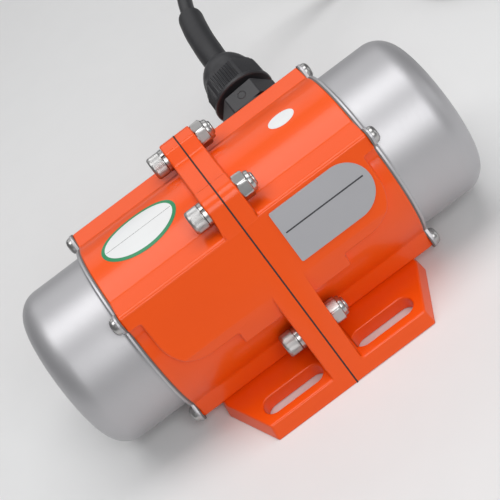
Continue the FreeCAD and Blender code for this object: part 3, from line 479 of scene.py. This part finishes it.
HEAD_ROWS = [
    (WASHER, WIDE, 0.0),
    (WASHER, WIDE, HEAD_R - 0.25 * MM),
    (WASHER + 0.25 * MM, WIDE, HEAD_R),
    (WASHER + 0.55 * MM, WIDE, HEAD_R),
    (WASHER + 0.60 * MM, WIDE, HEAD_R),
    (WASHER + 4.70 * MM, WIDE, HEAD_R),
    (WASHER + 4.75 * MM, WIDE, HEAD_R),
    (WASHER + 5.30 * MM, WIDE, HEAD_R - 0.06 * MM),
    (WASHER + 5.72 * MM, WIDE, HEAD_R - 0.32 * MM),
    (WASHER + HEAD_H, WIDE, HEAD_R - 0.85 * MM),
    (WASHER + HEAD_H, WIDE, 3.05 * MM),
    (WASHER + 5.85 * MM, 2.52 * MM, 2.92 * MM),
    (WASHER + 3.0 * MM, 2.50 * MM, 2.90 * MM),
    (WASHER + 2.6 * MM, WIDE, 0.0),
]
UNDER_HEAD = -2 * FLANGE_FACE - WASHER + 0.01 * MM
NUT_TOP = NUT_H + COLLAR_H
TIP_ROWS = [
    (UNDER_HEAD, WIDE, 0.0), (UNDER_HEAD, WIDE, SHANK_R - 0.02 * MM),
    (NUT_TOP + 0.4 * MM, WIDE, SHANK_R - 0.02 * MM),
    (NUT_TOP + 0.9 * MM, WIDE, SHANK_R - 0.55 * MM),
    (NUT_TOP + 0.9 * MM, WIDE, 0.0),
]
print("bolt head", len(HEAD_ROWS), "rows, tip", len(TIP_ROWS))

# %% [markdown]
# A spring washer is a split ring with a square section and a slight pitch. A lock nut is
# a hexagon with a round collar, and the collar grips a ring of white nylon.

# %% Spring washers, lock nuts and their inserts
SPLIT_FROM, SPLIT_TO, SPLIT_TURN = np.radians(8), np.radians(352), 2.2
SPLIT_PITCH = 0.10 * MM
WASHER_INNER, WASHER_OUTER = SHANK_R + 0.15 * MM, 5.1 * MM
WASHER_LOW, WASHER_HIGH = 0.06 * MM, WASHER - 0.14 * MM


def split_ring(at):
    """A square section carried round the bolt: the distance from the flange grows evenly
    with the angle, so one end stands a little higher than the other."""
    turn = np.linspace(SPLIT_FROM, SPLIT_TO, 60)
    section = np.array([(WASHER_INNER, WASHER_LOW), (WASHER_OUTER, WASHER_LOW),
                        (WASHER_OUTER, WASHER_HIGH), (WASHER_INNER, WASHER_HIGH)])
    pitch = SPLIT_PITCH * (turn / np.pi - 1)
    ring = np.stack([
        at[0] - (section[None, :, 1] + 0.05 * MM + pitch[:, None]),
        at[1] + section[None, :, 0] * np.cos(turn + SPLIT_TURN)[:, None],
        at[2] + section[None, :, 0] * np.sin(turn + SPLIT_TURN)[:, None],
    ], axis=-1)
    return tidy_mesh(mesh_from_grid("washer", ring, wrap_v=True, cap=True))


NUT_ROWS = [
    (0.0, WIDE, SHANK_R), (0.0, NUT_FLAT, 5.0 * MM), (0.30 * MM, NUT_FLAT, 5.45 * MM),
    (0.55 * MM, NUT_FLAT, 5.72 * MM), (NUT_H - 0.75 * MM, NUT_FLAT, 5.72 * MM),
    (NUT_H - 0.25 * MM, NUT_FLAT, 5.35 * MM), (NUT_H, WIDE, 4.75 * MM),
    (NUT_H + 0.15 * MM, WIDE, 4.5 * MM), (NUT_H + 1.2 * MM, WIDE, 4.35 * MM),
    (NUT_H + 1.65 * MM, WIDE, 4.15 * MM), (NUT_TOP, WIDE, 3.7 * MM),
    (NUT_TOP - 0.25 * MM, WIDE, 3.55 * MM), (NUT_H + 0.4 * MM, WIDE, SHANK_R),
]
INSERT_ROWS = [
    (NUT_H + 0.35 * MM, WIDE, SHANK_R), (NUT_H + 0.5 * MM, WIDE, 3.6 * MM),
    (NUT_H + 1.45 * MM, WIDE, 3.6 * MM), (NUT_H + 1.45 * MM, WIDE, SHANK_R),
]
bolts, washers, nuts, inserts = [], [], [], []
for y, z in BOLT_PLACES:
    head_at = (-FLANGE_FACE, y * MM, AXIS_Z + z * MM)
    nut_at = (FLANGE_FACE, y * MM, AXIS_Z + z * MM)
    nut_turn = NUT_TURN_TOP if z > 0 else NUT_TURN_LOW
    bolts.append(turned("head", HEAD_ROWS, head_at, (-1, 0, 0), steps=360, shape=knurl))
    bolts.append(turned("tip", TIP_ROWS, nut_at, (1, 0, 0), steps=48))
    washers.append(split_ring(head_at))
    nuts.append(turned("nut", NUT_ROWS, nut_at, (1, 0, 0), phase=nut_turn))
    inserts.append(turned("insert", INSERT_ROWS, nut_at, (1, 0, 0), steps=64))
piece("bolt_set", bolts, BODY, SATIN_STEEL, ["flange_bolts"])
piece("spring_washer_set", washers, BODY, STEEL, ["flange_spring_washers"])
piece("lock_nut_set", nuts, BODY, STEEL, ["flange_lock_nuts"])
piece("nut_insert_set", inserts, BODY, WHITE_NYLON)

# %% [markdown]
# Each cup is drawn from one sheet: a flange with four round tabs, a small fillet, the
# wall, a large corner and a crowned end, and the same skin again on the inside.

# %% End cups
SEAT, CUP_END, CUP_R = 58.4, 95.0, 36.9       # mm: the cups are worked out in mm
CORNER, CROWN, SHEET = 11.0, 0.9, 1.2
FLANGE_R, TAB_AT, TAB_R = 39.6, 42.85, 4.1
RIM_EASE, SHEET_EASE = 0.15, 0.3              # the flange's rounded edges
QUARTER = np.pi / 2                           # the tabs stand a quarter turn apart


def arc_of(middle_x, middle_r, radius, start, end, count):
    """Points of a quarter round in the profile's plane: (distance, radius) rows."""
    a = np.radians(np.linspace(start, end, count))
    return np.stack([middle_x + radius * np.sin(a), middle_r + radius * np.cos(a)], -1)


def cup_skin(inset, start):
    """The drawn skin, inset by the sheet for its inner side, from the mouth to the pole:
    a straight wall, a round corner, and an end that bulges by a square of the radius."""
    end, r, c = CUP_END - inset, CUP_R - inset, CORNER - inset
    wall = np.stack([np.linspace(start, end - CROWN - c, 12), np.full(12, r)], -1)
    corner = arc_of(end - CROWN - c, r - c, c, 5, 84, 16)
    corner_x, corner_r = corner[-1]
    inwards = np.linspace(corner_r, 0, 16)[1:]
    bulge = np.stack([end - (end - corner_x) * (inwards / corner_r) ** 2, inwards], -1)
    return np.vstack([wall, corner, bulge])


def tab_edge(angle):
    """The flange's outline: the round flange or, near a tab, the tab's own circle."""
    off = (angle % QUARTER) - QUARTER / 2
    inside = np.clip(TAB_R ** 2 - (TAB_AT * np.sin(off)) ** 2, 0, None)
    tab = TAB_AT * np.cos(off) + np.sqrt(inside)
    arm = TAB_R / np.maximum(np.abs(np.sin(off)), 1e-6)
    return np.maximum(FLANGE_R, np.minimum(tab, arm))


def cup_angles():
    """Even steps round the cup, with finer ones over each tab."""
    side = np.arcsin(TAB_R / TAB_AT)
    near = np.concatenate([np.linspace(-side, side, 21), [-1.09 * side, 1.09 * side]])
    tabs = (QUARTER / 2 + QUARTER * np.arange(4))[:, None] + near
    even = np.linspace(0, 2 * np.pi, 180, endpoint=False)
    return np.unique(np.round(np.concatenate([even, tabs.ravel()]), 6))


def cup_mesh(name, sign):
    """Rows of (distance, radius) swept round the shaft's axis. A flange row's radius is a
    fixed part plus a share of the tabbed outline."""
    angle = cup_angles()
    rim = np.array([
        (SEAT, CUP_R - SHEET, 0.0), (SEAT, -RIM_EASE, 1.0), (SEAT + RIM_EASE, 0.0, 1.0),
        (SEAT + SHEET - SHEET_EASE, 0.0, 1.0), (SEAT + SHEET, -SHEET_EASE, 1.0),
        (SEAT + SHEET, CUP_R + 1.1, 0.0)])
    fillet = arc_of(SEAT + SHEET + 1.0, CUP_R + 1.0, -1.0, 75, 0, 6)
    outer = np.vstack([fillet, cup_skin(0.0, SEAT + SHEET + 1.6)])
    inner = cup_skin(SHEET, SEAT)[::-1]
    plain = np.zeros((len(outer), 1))
    bm = bmesh.new()
    for rows in (np.vstack([rim, np.hstack([outer, plain])]),
                 np.hstack([inner, np.zeros((len(inner), 1))])):
        radius = rows[:, 1:2] + rows[:, 2:3] * tab_edge(angle)
        along = np.broadcast_to(sign * rows[:, :1], radius.shape)
        height = AXIS_Z / MM + radius * np.sin(angle)
        pts = np.stack([along, radius * np.cos(angle), height], -1) * MM
        bm.from_mesh(mesh_from_grid(name, pts, wrap_v=True))
    whole = bpy.data.meshes.new(name)
    bm.to_mesh(whole)
    bm.free()
    return tidy_mesh(whole, merge=2e-6, smooth_angle=40)


for side, sign in (("left", -1), ("right", 1)):
    piece(side + "_cup", [cup_mesh(side + "_cup", sign)], BODY, ALUMINIUM,
          [side + "_end_cover"])

# %% [markdown]
# The cup screws have domed pan heads with a cross recess. The head is a height above
# the seat over a disc: a flat-topped dome, less a cross that deepens to its middle.

# %% Cup screws
PAN_R, PAN_H, SCREW_AT, SCREW_X = 3.7 * MM, 2.6 * MM, 30.3 * MM, 59.6 * MM
CROSS_DEEP = 0.95 * MM
CROSS_LONG, CROSS_WIDE = 0.50 * PAN_R, 0.15 * PAN_R


def cross_bar(along, across):
    """One bar of the cross recess: 1 inside it, falling to 0 over a short slope."""
    reach = np.clip((CROSS_LONG - np.abs(along)) / (0.12 * PAN_R), 0, 1)
    width = np.clip((CROSS_WIDE - np.abs(across)) / (0.05 * PAN_R), 0, 1)
    return reach * width


def pan_head(sign, y, z):
    """Height = H * (1 - (r/R)^4)^(1/2.2) - cross, on rings of growing radius. The recess turns by
    an angle worked out from how far the screw stands in front of or behind the shaft, so the
    screws in front point one way and those behind another."""
    r = np.concatenate([np.linspace(0.02, 0.7, 16), np.linspace(0.74, 1.0, 14)])
    a = np.linspace(0, 2 * np.pi, 96, endpoint=False)
    rr, aa = np.meshgrid(r, a, indexing="ij")
    dome = PAN_H * np.clip(1 - rr ** 4, 0, 1) ** (1 / 2.2)
    u, w = rr * PAN_R * np.cos(aa), rr * PAN_R * np.sin(aa)
    height = dome - np.maximum(cross_bar(u, w), cross_bar(w, u)) * CROSS_DEEP
    spin = np.radians(20 + 1000 * y)
    head = np.stack([sign * (SCREW_X + height), y + u * np.cos(spin) - w * np.sin(spin),
                     z + u * np.sin(spin) + w * np.cos(spin)], -1)
    skirt = np.stack([np.full(a.shape, sign * SCREW_X), y + PAN_R * np.cos(a + spin),
                      z + PAN_R * np.sin(a + spin)], -1)
    grid = np.concatenate([head, skirt[None]], axis=0)
    return tidy_mesh(mesh_from_grid("pan", grid, wrap_v=True, cap=True), smooth_angle=50)


for side, sign in (("left", -1), ("right", 1)):
    heads = [pan_head(sign, sy * SCREW_AT, AXIS_Z + sz * SCREW_AT)
             for sy in (-1, 1) for sz in (-1, 1)]
    piece(side + "_pan_screws", heads, BODY, STEEL, [side + "_cover_screws"])

# %% [markdown]
# The gland's cap is a moulded nylon nut: six flats, two of every three ribbed for grip, a
# round rim at its mouth and a dome that closes on the cable.

# %% Gland cap
GLAND = np.array((35.1, 39.03, 56.3)) * MM      # the middle of the gland's seat
LEAN = np.arctan(FACE_SLOPE)                    # it stands square on the leaning face
OUT = np.array((0, np.cos(LEAN), np.sin(LEAN)))
MOUTH, CAP_LONG = 16.0 * MM, 22.9 * MM          # the cap's seat and its own length
FLAT = 12.3 * MM
CAP_PHASE = np.radians(43.5)
RIB_PITCH, RIB_HIGH, RIB_SINK = 1.36 * MM, 0.55 * MM, 0.35 * MM
RIB_FROM, RIB_TO, RIB_HALF = 2.9 * MM, 11.6 * MM, 6.3 * MM
ROUND = WIDE / MM


def ribs(angle, distance, radius):
    """Ridges along two flats of every three: a raised cosine across the flat."""
    turned_by = angle + CAP_PHASE + np.pi / 6
    face = np.floor(turned_by / (np.pi / 3)).astype(int) % 3
    across = FLAT * np.tan(turned_by % (np.pi / 3) - np.pi / 6)
    wave = 0.5 + 0.5 * np.cos(2 * np.pi * across / RIB_PITCH)
    band = (distance > RIB_FROM) & (distance < RIB_TO) & (np.abs(across) < RIB_HALF)
    return np.where(band & (face != 0), RIB_HIGH * wave - RIB_SINK, 0.0)


cap_rows = np.array([    # mm: distance, half the width across flats, greatest radius
    (0.0, ROUND, 9.7), (0.0, ROUND, 13.75), (0.4, ROUND, 14.25), (1.5, ROUND, 14.25),
    (2.0, ROUND, 13.8), (2.25, 12.55, 13.7), (2.8, 12.3, 13.6), (3.0, 12.3, 13.6),
    (7.0, 12.2, 13.5), (11.4, 12.1, 13.4), (11.8, 12.0, 13.3), (12.9, 11.9, 12.7),
    (14.0, ROUND, 11.9), (15.8, ROUND, 11.4), (17.5, ROUND, 10.8), (19.1, ROUND, 10.0),
    (20.6, ROUND, 9.1), (21.8, ROUND, 8.2), (22.6, ROUND, 7.4), (22.9, ROUND, 6.9),
    (22.85, ROUND, 6.4), (22.4, ROUND, 6.05), (16.0, ROUND, 6.0)]) * MM
cap = turned("cap", cap_rows, GLAND + OUT * MOUTH, OUT, steps=720, phase=CAP_PHASE, shape=ribs)
gland_cap = piece("gland_cap", [cap], BODY, NYLON, ["gland_nut"])

# %% [markdown]
# A small round mould mark stands on the upper flat of the gland's body. It is a ring with
# a thin round section that lies half sunk in the flat.

# %% Gland mould mark
MARK_AT, MARK_R, FLAT_TURN = 9.9 * MM, 1.75 * MM, np.radians(-96.5)
MARK_WIDE, MARK_HIGH = 0.22 * MM, 0.2 * MM
rise = np.array((0, -np.sin(LEAN), np.cos(LEAN)))
normal = np.array((1.0, 0, 0)) * np.cos(FLAT_TURN) - rise * np.sin(FLAT_TURN)
sideways = np.cross(OUT, normal)
around, across = np.meshgrid(np.linspace(0, 2 * np.pi, 48, endpoint=False),
                             np.linspace(0, 2 * np.pi, 12, endpoint=False), indexing="ij")
circle = np.cos(around)[..., None] * OUT + np.sin(around)[..., None] * sideways
mark = (GLAND + OUT * MARK_AT + normal * FLAT
        + (MARK_R + MARK_WIDE * np.cos(across))[..., None] * circle
        + (MARK_HIGH * np.sin(across))[..., None] * normal)
mark_mesh = tidy_mesh(mesh_from_grid("mark", mark, wrap_u=True, wrap_v=True))
mould_mark = piece("gland_mould_mark", [mark_mesh], BODY, NYLON)

# %% [markdown]
# The cable leaves the gland to the back, sags to the floor and lies in a neat coil. Its
# line is a NURBS spline through the same route as the CAD tube, and the turns of the
# coil are more points of the same spline. A heat-shrink sleeve covers the first stretch.

# %% Cable and coil
CORD_R = 3.5 * MM
ROUTE = np.array([
    (35.1, 57.2, 63.4), (35.1, 86.0, 74.8), (40.5, 119, 78), (46.5, 138, 78), (62, 157, 71),
    (88, 170, 46), (118, 175, 12), (152, 175, 3.9), (186, 175, 3.9),
]) * MM
COIL = np.array((186.0, 135.3)) * MM
# three turns in a triangle: two side by side on the floor, one in the groove above them;
# each has a radius and a height for the middle of the cable
TURN_PLACES = np.array([(39.65, 3.9), (32.35, 3.9), (36.0, 10.3)]) * MM
PER_TURN = 16
TURNS = 3
SPARE = 1.0196      # control points stand out this much from the turn that they guide
turn_no = np.arange(1, TURNS * PER_TURN + 1) / PER_TURN
steps_at = [0, 0.85, 1.15, 1.85, 2.15]
place_of_step = TURN_PLACES[[0, 0, 1, 1, 2]]
reach = np.interp(turn_no, steps_at, place_of_step[:, 0])
lift = np.interp(turn_no, steps_at, place_of_step[:, 1])
turn_to = np.pi / 2 - 2 * np.pi * turn_no
wind = np.stack([COIL[0] + SPARE * reach * np.cos(turn_to),
                 COIL[1] + SPARE * reach * np.sin(turn_to), lift], -1)
points = np.vstack([ROUTE, wind])


def nurbs(name, pts):
    """A NURBS curve of order 3 with the given control points and no thickness yet."""
    data = bpy.data.curves.new(name, "CURVE")
    data.dimensions = "3D"
    data.resolution_u = 8
    data.bevel_resolution = 6
    data.use_fill_caps = True
    spline = data.splines.new("NURBS")
    spline.points.add(len(pts) - 1)
    spline.points.foreach_set("co", np.hstack([pts, np.ones((len(pts), 1))]).ravel())
    spline.order_u = 3
    spline.use_endpoint_u = True
    obj = bpy.data.objects.new(name, data)
    bpy.context.collection.objects.link(obj)
    return obj


def line_of(obj):
    """The points that a curve's line runs through, as an array."""
    mesh = bpy.data.meshes.new_from_object(obj)
    co = np.empty(len(mesh.vertices) * 3)
    mesh.vertices.foreach_get("co", co)
    bpy.data.meshes.remove(mesh)
    return co.reshape(-1, 3)


cord = nurbs("cable", points)
line = line_of(cord)
cord.data.bevel_depth = CORD_R
cord.data.materials.append(JACKET)
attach(cord, BODY)
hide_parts("power_cord", "cord_coil")


# %% [markdown]
# Tubes that change their thickness are rings carried along a line. The shrink sleeve is
# one: it hugs the cable, with faint waves and an edge that shrinks down at its end.


# %% Heat-shrink sleeve
def tube_along(name, centres, radii, sides=48):
    """Rings of the given radii carried along a line, each square to the line there."""
    centres = np.asarray(centres)
    way = np.gradient(centres, axis=0)
    way /= np.linalg.norm(way, axis=1)[:, None]
    side = np.cross(way, (0, 0, 1.0))
    side /= np.linalg.norm(side, axis=1)[:, None]
    other = np.cross(side, way)
    a = np.linspace(0, 2 * np.pi, sides, endpoint=False)
    ring = (np.cos(a)[None, :, None] * side[:, None, :]
            + np.sin(a)[None, :, None] * other[:, None, :])
    pts = centres[:, None, :] + ring * np.asarray(radii)[:, None, None]
    return mesh_from_grid(name, pts, wrap_v=True, cap=True)


SLEEVE_FROM, SLEEVE_TO, SLEEVE_R = 14.5 * MM, 57.0 * MM, 5.9 * MM
WAVE, END_FROM, END_DROP = 0.012, 0.93, 0.35 * MM
dist = np.concatenate([[0], np.cumsum(np.linalg.norm(np.diff(line, axis=0), axis=1))])
stations = np.linspace(SLEEVE_FROM, SLEEVE_TO, 60)
centres = np.stack([np.interp(stations, dist, line[:, k]) for k in range(3)], -1)
s = (stations - SLEEVE_FROM) / (SLEEVE_TO - SLEEVE_FROM)
radii = (SLEEVE_R * (1 - WAVE * np.sin(9 * s) ** 2)
         - END_DROP * np.clip((s - END_FROM) / (1 - END_FROM), 0, 1) ** 2)
# the end rings close on the cable, a hair off the last ones so that they have a direction
centres = np.vstack([centres[:1], centres, centres[-1:]])
radii = np.concatenate([[CORD_R * 1.02], radii, [CORD_R * 1.02]])
shift = np.zeros_like(centres)
shift[0] = (centres[2] - centres[1]) * 0.001
shift[-1] = (centres[-2] - centres[-3]) * 0.001
sleeve_mesh = tidy_mesh(tube_along("sleeve", centres + shift, radii), smooth_angle=50)
sleeve = piece("shrink_sleeve", [sleeve_mesh], BODY, RUBBER, ["cable_sleeve"])

# %% [markdown]
# A strap holds the three turns. It is the outline of the bundle, the furthest edge of the
# three cables in every direction, carried along the coil by the strap's width.

# %% Coil strap
STRAP_TURN, STRAP_HALF, STRAP_THICK = np.radians(-35), 2.2 * MM, 0.35 * MM
STRAP_INSIDE = -0.1 * MM
phi = np.linspace(0, 2 * np.pi, 96, endpoint=False)
facing = np.stack([np.cos(phi), np.sin(phi)], -1)
nearest = np.argmax(facing @ TURN_PLACES.T, axis=1)
outwards = np.array((np.cos(STRAP_TURN), np.sin(STRAP_TURN)))
tangent = np.array((-outwards[1], outwards[0]))
strap_rows = []
for thick, along in ((STRAP_INSIDE, -STRAP_HALF), (STRAP_THICK, -STRAP_HALF),
                     (STRAP_THICK, STRAP_HALF), (STRAP_INSIDE, STRAP_HALF)):
    loop = TURN_PLACES[nearest] + facing * (CORD_R + thick)
    xy = COIL + loop[:, :1] * outwards + along * tangent
    strap_rows.append(np.column_stack([xy, loop[:, 1]]))
strap_mesh = tidy_mesh(mesh_from_grid("strap", np.array(strap_rows), wrap_u=True, wrap_v=True))
strap = piece("coil_strap", [strap_mesh], BODY, NYLON)

# %% [markdown]
# The cable's free end is stripped: three thin cores come out of the jacket, follow the
# coil's circle and part a little, and each shows a short bare copper tip.

# %% Cores and copper tips
CORE_R, CORE_LONG, TIP_LONG = 0.95 * MM, 26 * MM, 7 * MM
TIP_R, TIP_END_R = 0.62 * MM, 0.5 * MM
CORE_MIDDLE, CORE_APART, CORE_SPREAD = 36.6, 1.15, 3.0      # mm from the coil's middle
CORE_LIFT, CORE_CLIMB = 1.1, 0.8                            # mm over the upper turn
CORES = [    # name, which way it parts, how it climbs, its two colours
    ("core_brown", -1, -0.35, (0.12, 0.05, 0.02), (0.09, 0.035, 0.015)),
    ("core_blue", 0, 0.75, (0.02, 0.06, 0.25), (0.015, 0.045, 0.2)),
    ("core_black", 1, -0.35, (0.03, 0.03, 0.03), (0.02, 0.02, 0.02)),
]
cores, tips = [], []
far = np.linspace(-0.1, 1, 34)
swing = np.pi / 2 - far * CORE_LONG / TURN_PLACES[2, 0]
for name, part, climb, light, dark in CORES:
    away = (CORE_MIDDLE + CORE_APART * part
            + CORE_SPREAD * part * np.clip(far, 0, 1) ** 2) * MM
    height = TURN_PLACES[2, 1] + (CORE_LIFT * climb + CORE_CLIMB * far ** 2 * climb) * MM
    core = np.stack([COIL[0] + away * np.cos(swing), COIL[1] + away * np.sin(swing), height], -1)
    finish = finish_of(name, light, dark, rough=0.4)
    shell = tidy_mesh(tube_along("core", core, np.full(34, CORE_R), sides=20), smooth_angle=50)
    cores.append(piece(name, [shell], BODY, finish))
    last = core[-1] - core[-2]
    last /= np.linalg.norm(last)
    tip = core[-1] + last * (TIP_LONG * np.linspace(-0.1, 1, 12)[:, None])
    tip_radii = np.concatenate([np.full(11, TIP_R), [TIP_END_R]])
    tips.append(tidy_mesh(tube_along("tip", tip, tip_radii, sides=16), smooth_angle=50))
core_tips = piece("core_tips", tips, BODY, COPPER)

# %% [markdown]

# %% [markdown]
# Labels are thin stickers that follow the surface under them: a D-shaped foil plate on
# the leaning front face, an oval on the round top of the left half and a small one on
# the right. They carry no words; the oval keeps its green band and one plain rule.

# %% Stickers
EAR_Y, EAR_Z, EAR_R = 22.5, 41.7, 6.1          # mm: the upper ears of the flange
SLANT = np.sqrt(1 + FACE_SLOPE ** 2)
FACE_Y0 = EAR_Y + FACE_SLOPE * EAR_Z + EAR_R * SLANT
BARREL = 40.0                                  # mm: the radius of the round top


def on_front(x, along):
    """A point on the leaning front face: along is the distance up the slope in mm from
    the shaft's height."""
    z = along / SLANT
    p = np.stack([x, -(FACE_Y0 - FACE_SLOPE * z), z + AXIS_Z / MM], -1) * MM
    return p, np.array([0, -1, FACE_SLOPE]) / SLANT


def on_barrel(x, arc):
    """A point on the round top: arc is the angle from straight up, towards the front."""
    p = np.stack([x, -BARREL * np.sin(arc), BARREL * np.cos(arc) + AXIS_Z / MM], -1) * MM
    n = np.stack([np.zeros_like(arc), -np.sin(arc), np.cos(arc)], -1)
    return p, n


def sticker(name, edge, place, thick, base, material, rings=14):
    """A thin sheet: the closed edge curve is shrunk to its middle ring by ring, laid on a surface,
    and given a rim down to it."""
    middle = edge.mean(axis=0)
    share = np.linspace(0.02, 1, rings)
    flat = middle + (edge[None] - middle) * share[:, None, None]
    p, n = place(flat[..., 0], flat[..., 1])
    n = np.broadcast_to(n, p.shape)
    top = p + n * (base + thick) * MM
    q, m = place(edge[:, 0], edge[:, 1])
    rim = q + np.broadcast_to(m, q.shape) * base * MM
    under = (p + n * base * MM)[::-1][1:]
    grid = np.concatenate([top, rim[None], under], axis=0)
    mesh = tidy_mesh(mesh_from_grid(name, grid, wrap_v=True, cap=True))
    return piece(name, [mesh], BODY, material)


# %% Outlines of the stickers
def ellipse(cx, cy, a, b):
    """A closed ellipse about (cx, cy) with half widths a and b."""
    t = np.linspace(0, 2 * np.pi, 128, endpoint=False)
    return np.stack([cx + a * np.cos(t), cy + b * np.sin(t)], -1)


def plate_edge(x0, x1, low, high, corner):
    """A D: straight at the left with small corners, a half circle at the right."""
    r = (high - low) / 2
    a = np.linspace(-np.pi / 2, np.pi / 2, 60)
    right_end = np.stack([x1 - r + r * np.cos(a), (low + high) / 2 + r * np.sin(a)], -1)
    b = np.linspace(np.pi / 2, np.pi, 10)
    c = np.linspace(np.pi, 1.5 * np.pi, 10)
    top_left = np.stack([x0 + corner + corner * np.cos(b), high - corner + corner * np.sin(b)], -1)
    low_left = np.stack([x0 + corner + corner * np.cos(c), low + corner + corner * np.sin(c)], -1)
    return np.vstack([right_end, top_left, low_left])


def rule(x0, x1, low, high):
    """A plain ruled line as a thin oblong."""
    return np.array([(x0, low), (x1, low), (x1, high), (x0, high)])


plate_outline = plate_edge(10.6, 50.6, 11.0, 34.2, 0.8)
print("plate outline", len(plate_outline), "points")

# %% Place the stickers
OVAL_X, OVAL_AT = -32.8, 0.058      # mm along the shaft, and radians towards the front
FOIL, FILM, PRINT, FINE_PRINT = 0.35, 0.10, 0.03, 0.02      # thicknesses in mm
sticker("name_plate", plate_outline, on_front, FOIL, 0.0, PLATE)
sticker("plate_rule", rule(12.0, 48.0, 23.9, 24.5), on_front, PRINT, FOIL, INK,
        rings=3)
sticker("oval_label_band", ellipse(OVAL_X, OVAL_AT, 17.5, 0.275), on_barrel, FILM, 0.0, GREEN)
sticker("oval_label", ellipse(OVAL_X, OVAL_AT, 15.9, 0.236), on_barrel, PRINT, FILM, LABEL)
sticker("oval_rule", rule(-48.2, -17.4, OVAL_AT - 0.002, OVAL_AT + 0.002), on_barrel,
        FINE_PRINT, FILM + PRINT, INK, rings=3)
sticker("small_label", ellipse(37.6, 0.0, 5.9, 0.1025), on_barrel, FILM, 0.0, LABEL)

# %% [markdown]
# The floor is a plain pale sheet, wide enough to have no edge in view.

# %% Floor
FLOOR_HALF = 3.0
floor_x, floor_y = np.meshgrid((-FLOOR_HALF, FLOOR_HALF), (-FLOOR_HALF, FLOOR_HALF), indexing="ij")
floor_grid = np.stack([floor_x, floor_y, np.zeros((2, 2))], -1)
floor_mesh = mesh_from_grid("floor", floor_grid)
floor = bpy.data.objects.new("floor", floor_mesh)
floor_mat = finish_of("pale_floor", (0.80, 0.80, 0.80), (0.78, 0.78, 0.78), rough=0.6, bump=0.0)
floor_mesh.materials.append(floor_mat)
bpy.context.collection.objects.link(floor)
print("floor", 2 * FLOOR_HALF, "m wide")

# %% Done
print("the scene is built")
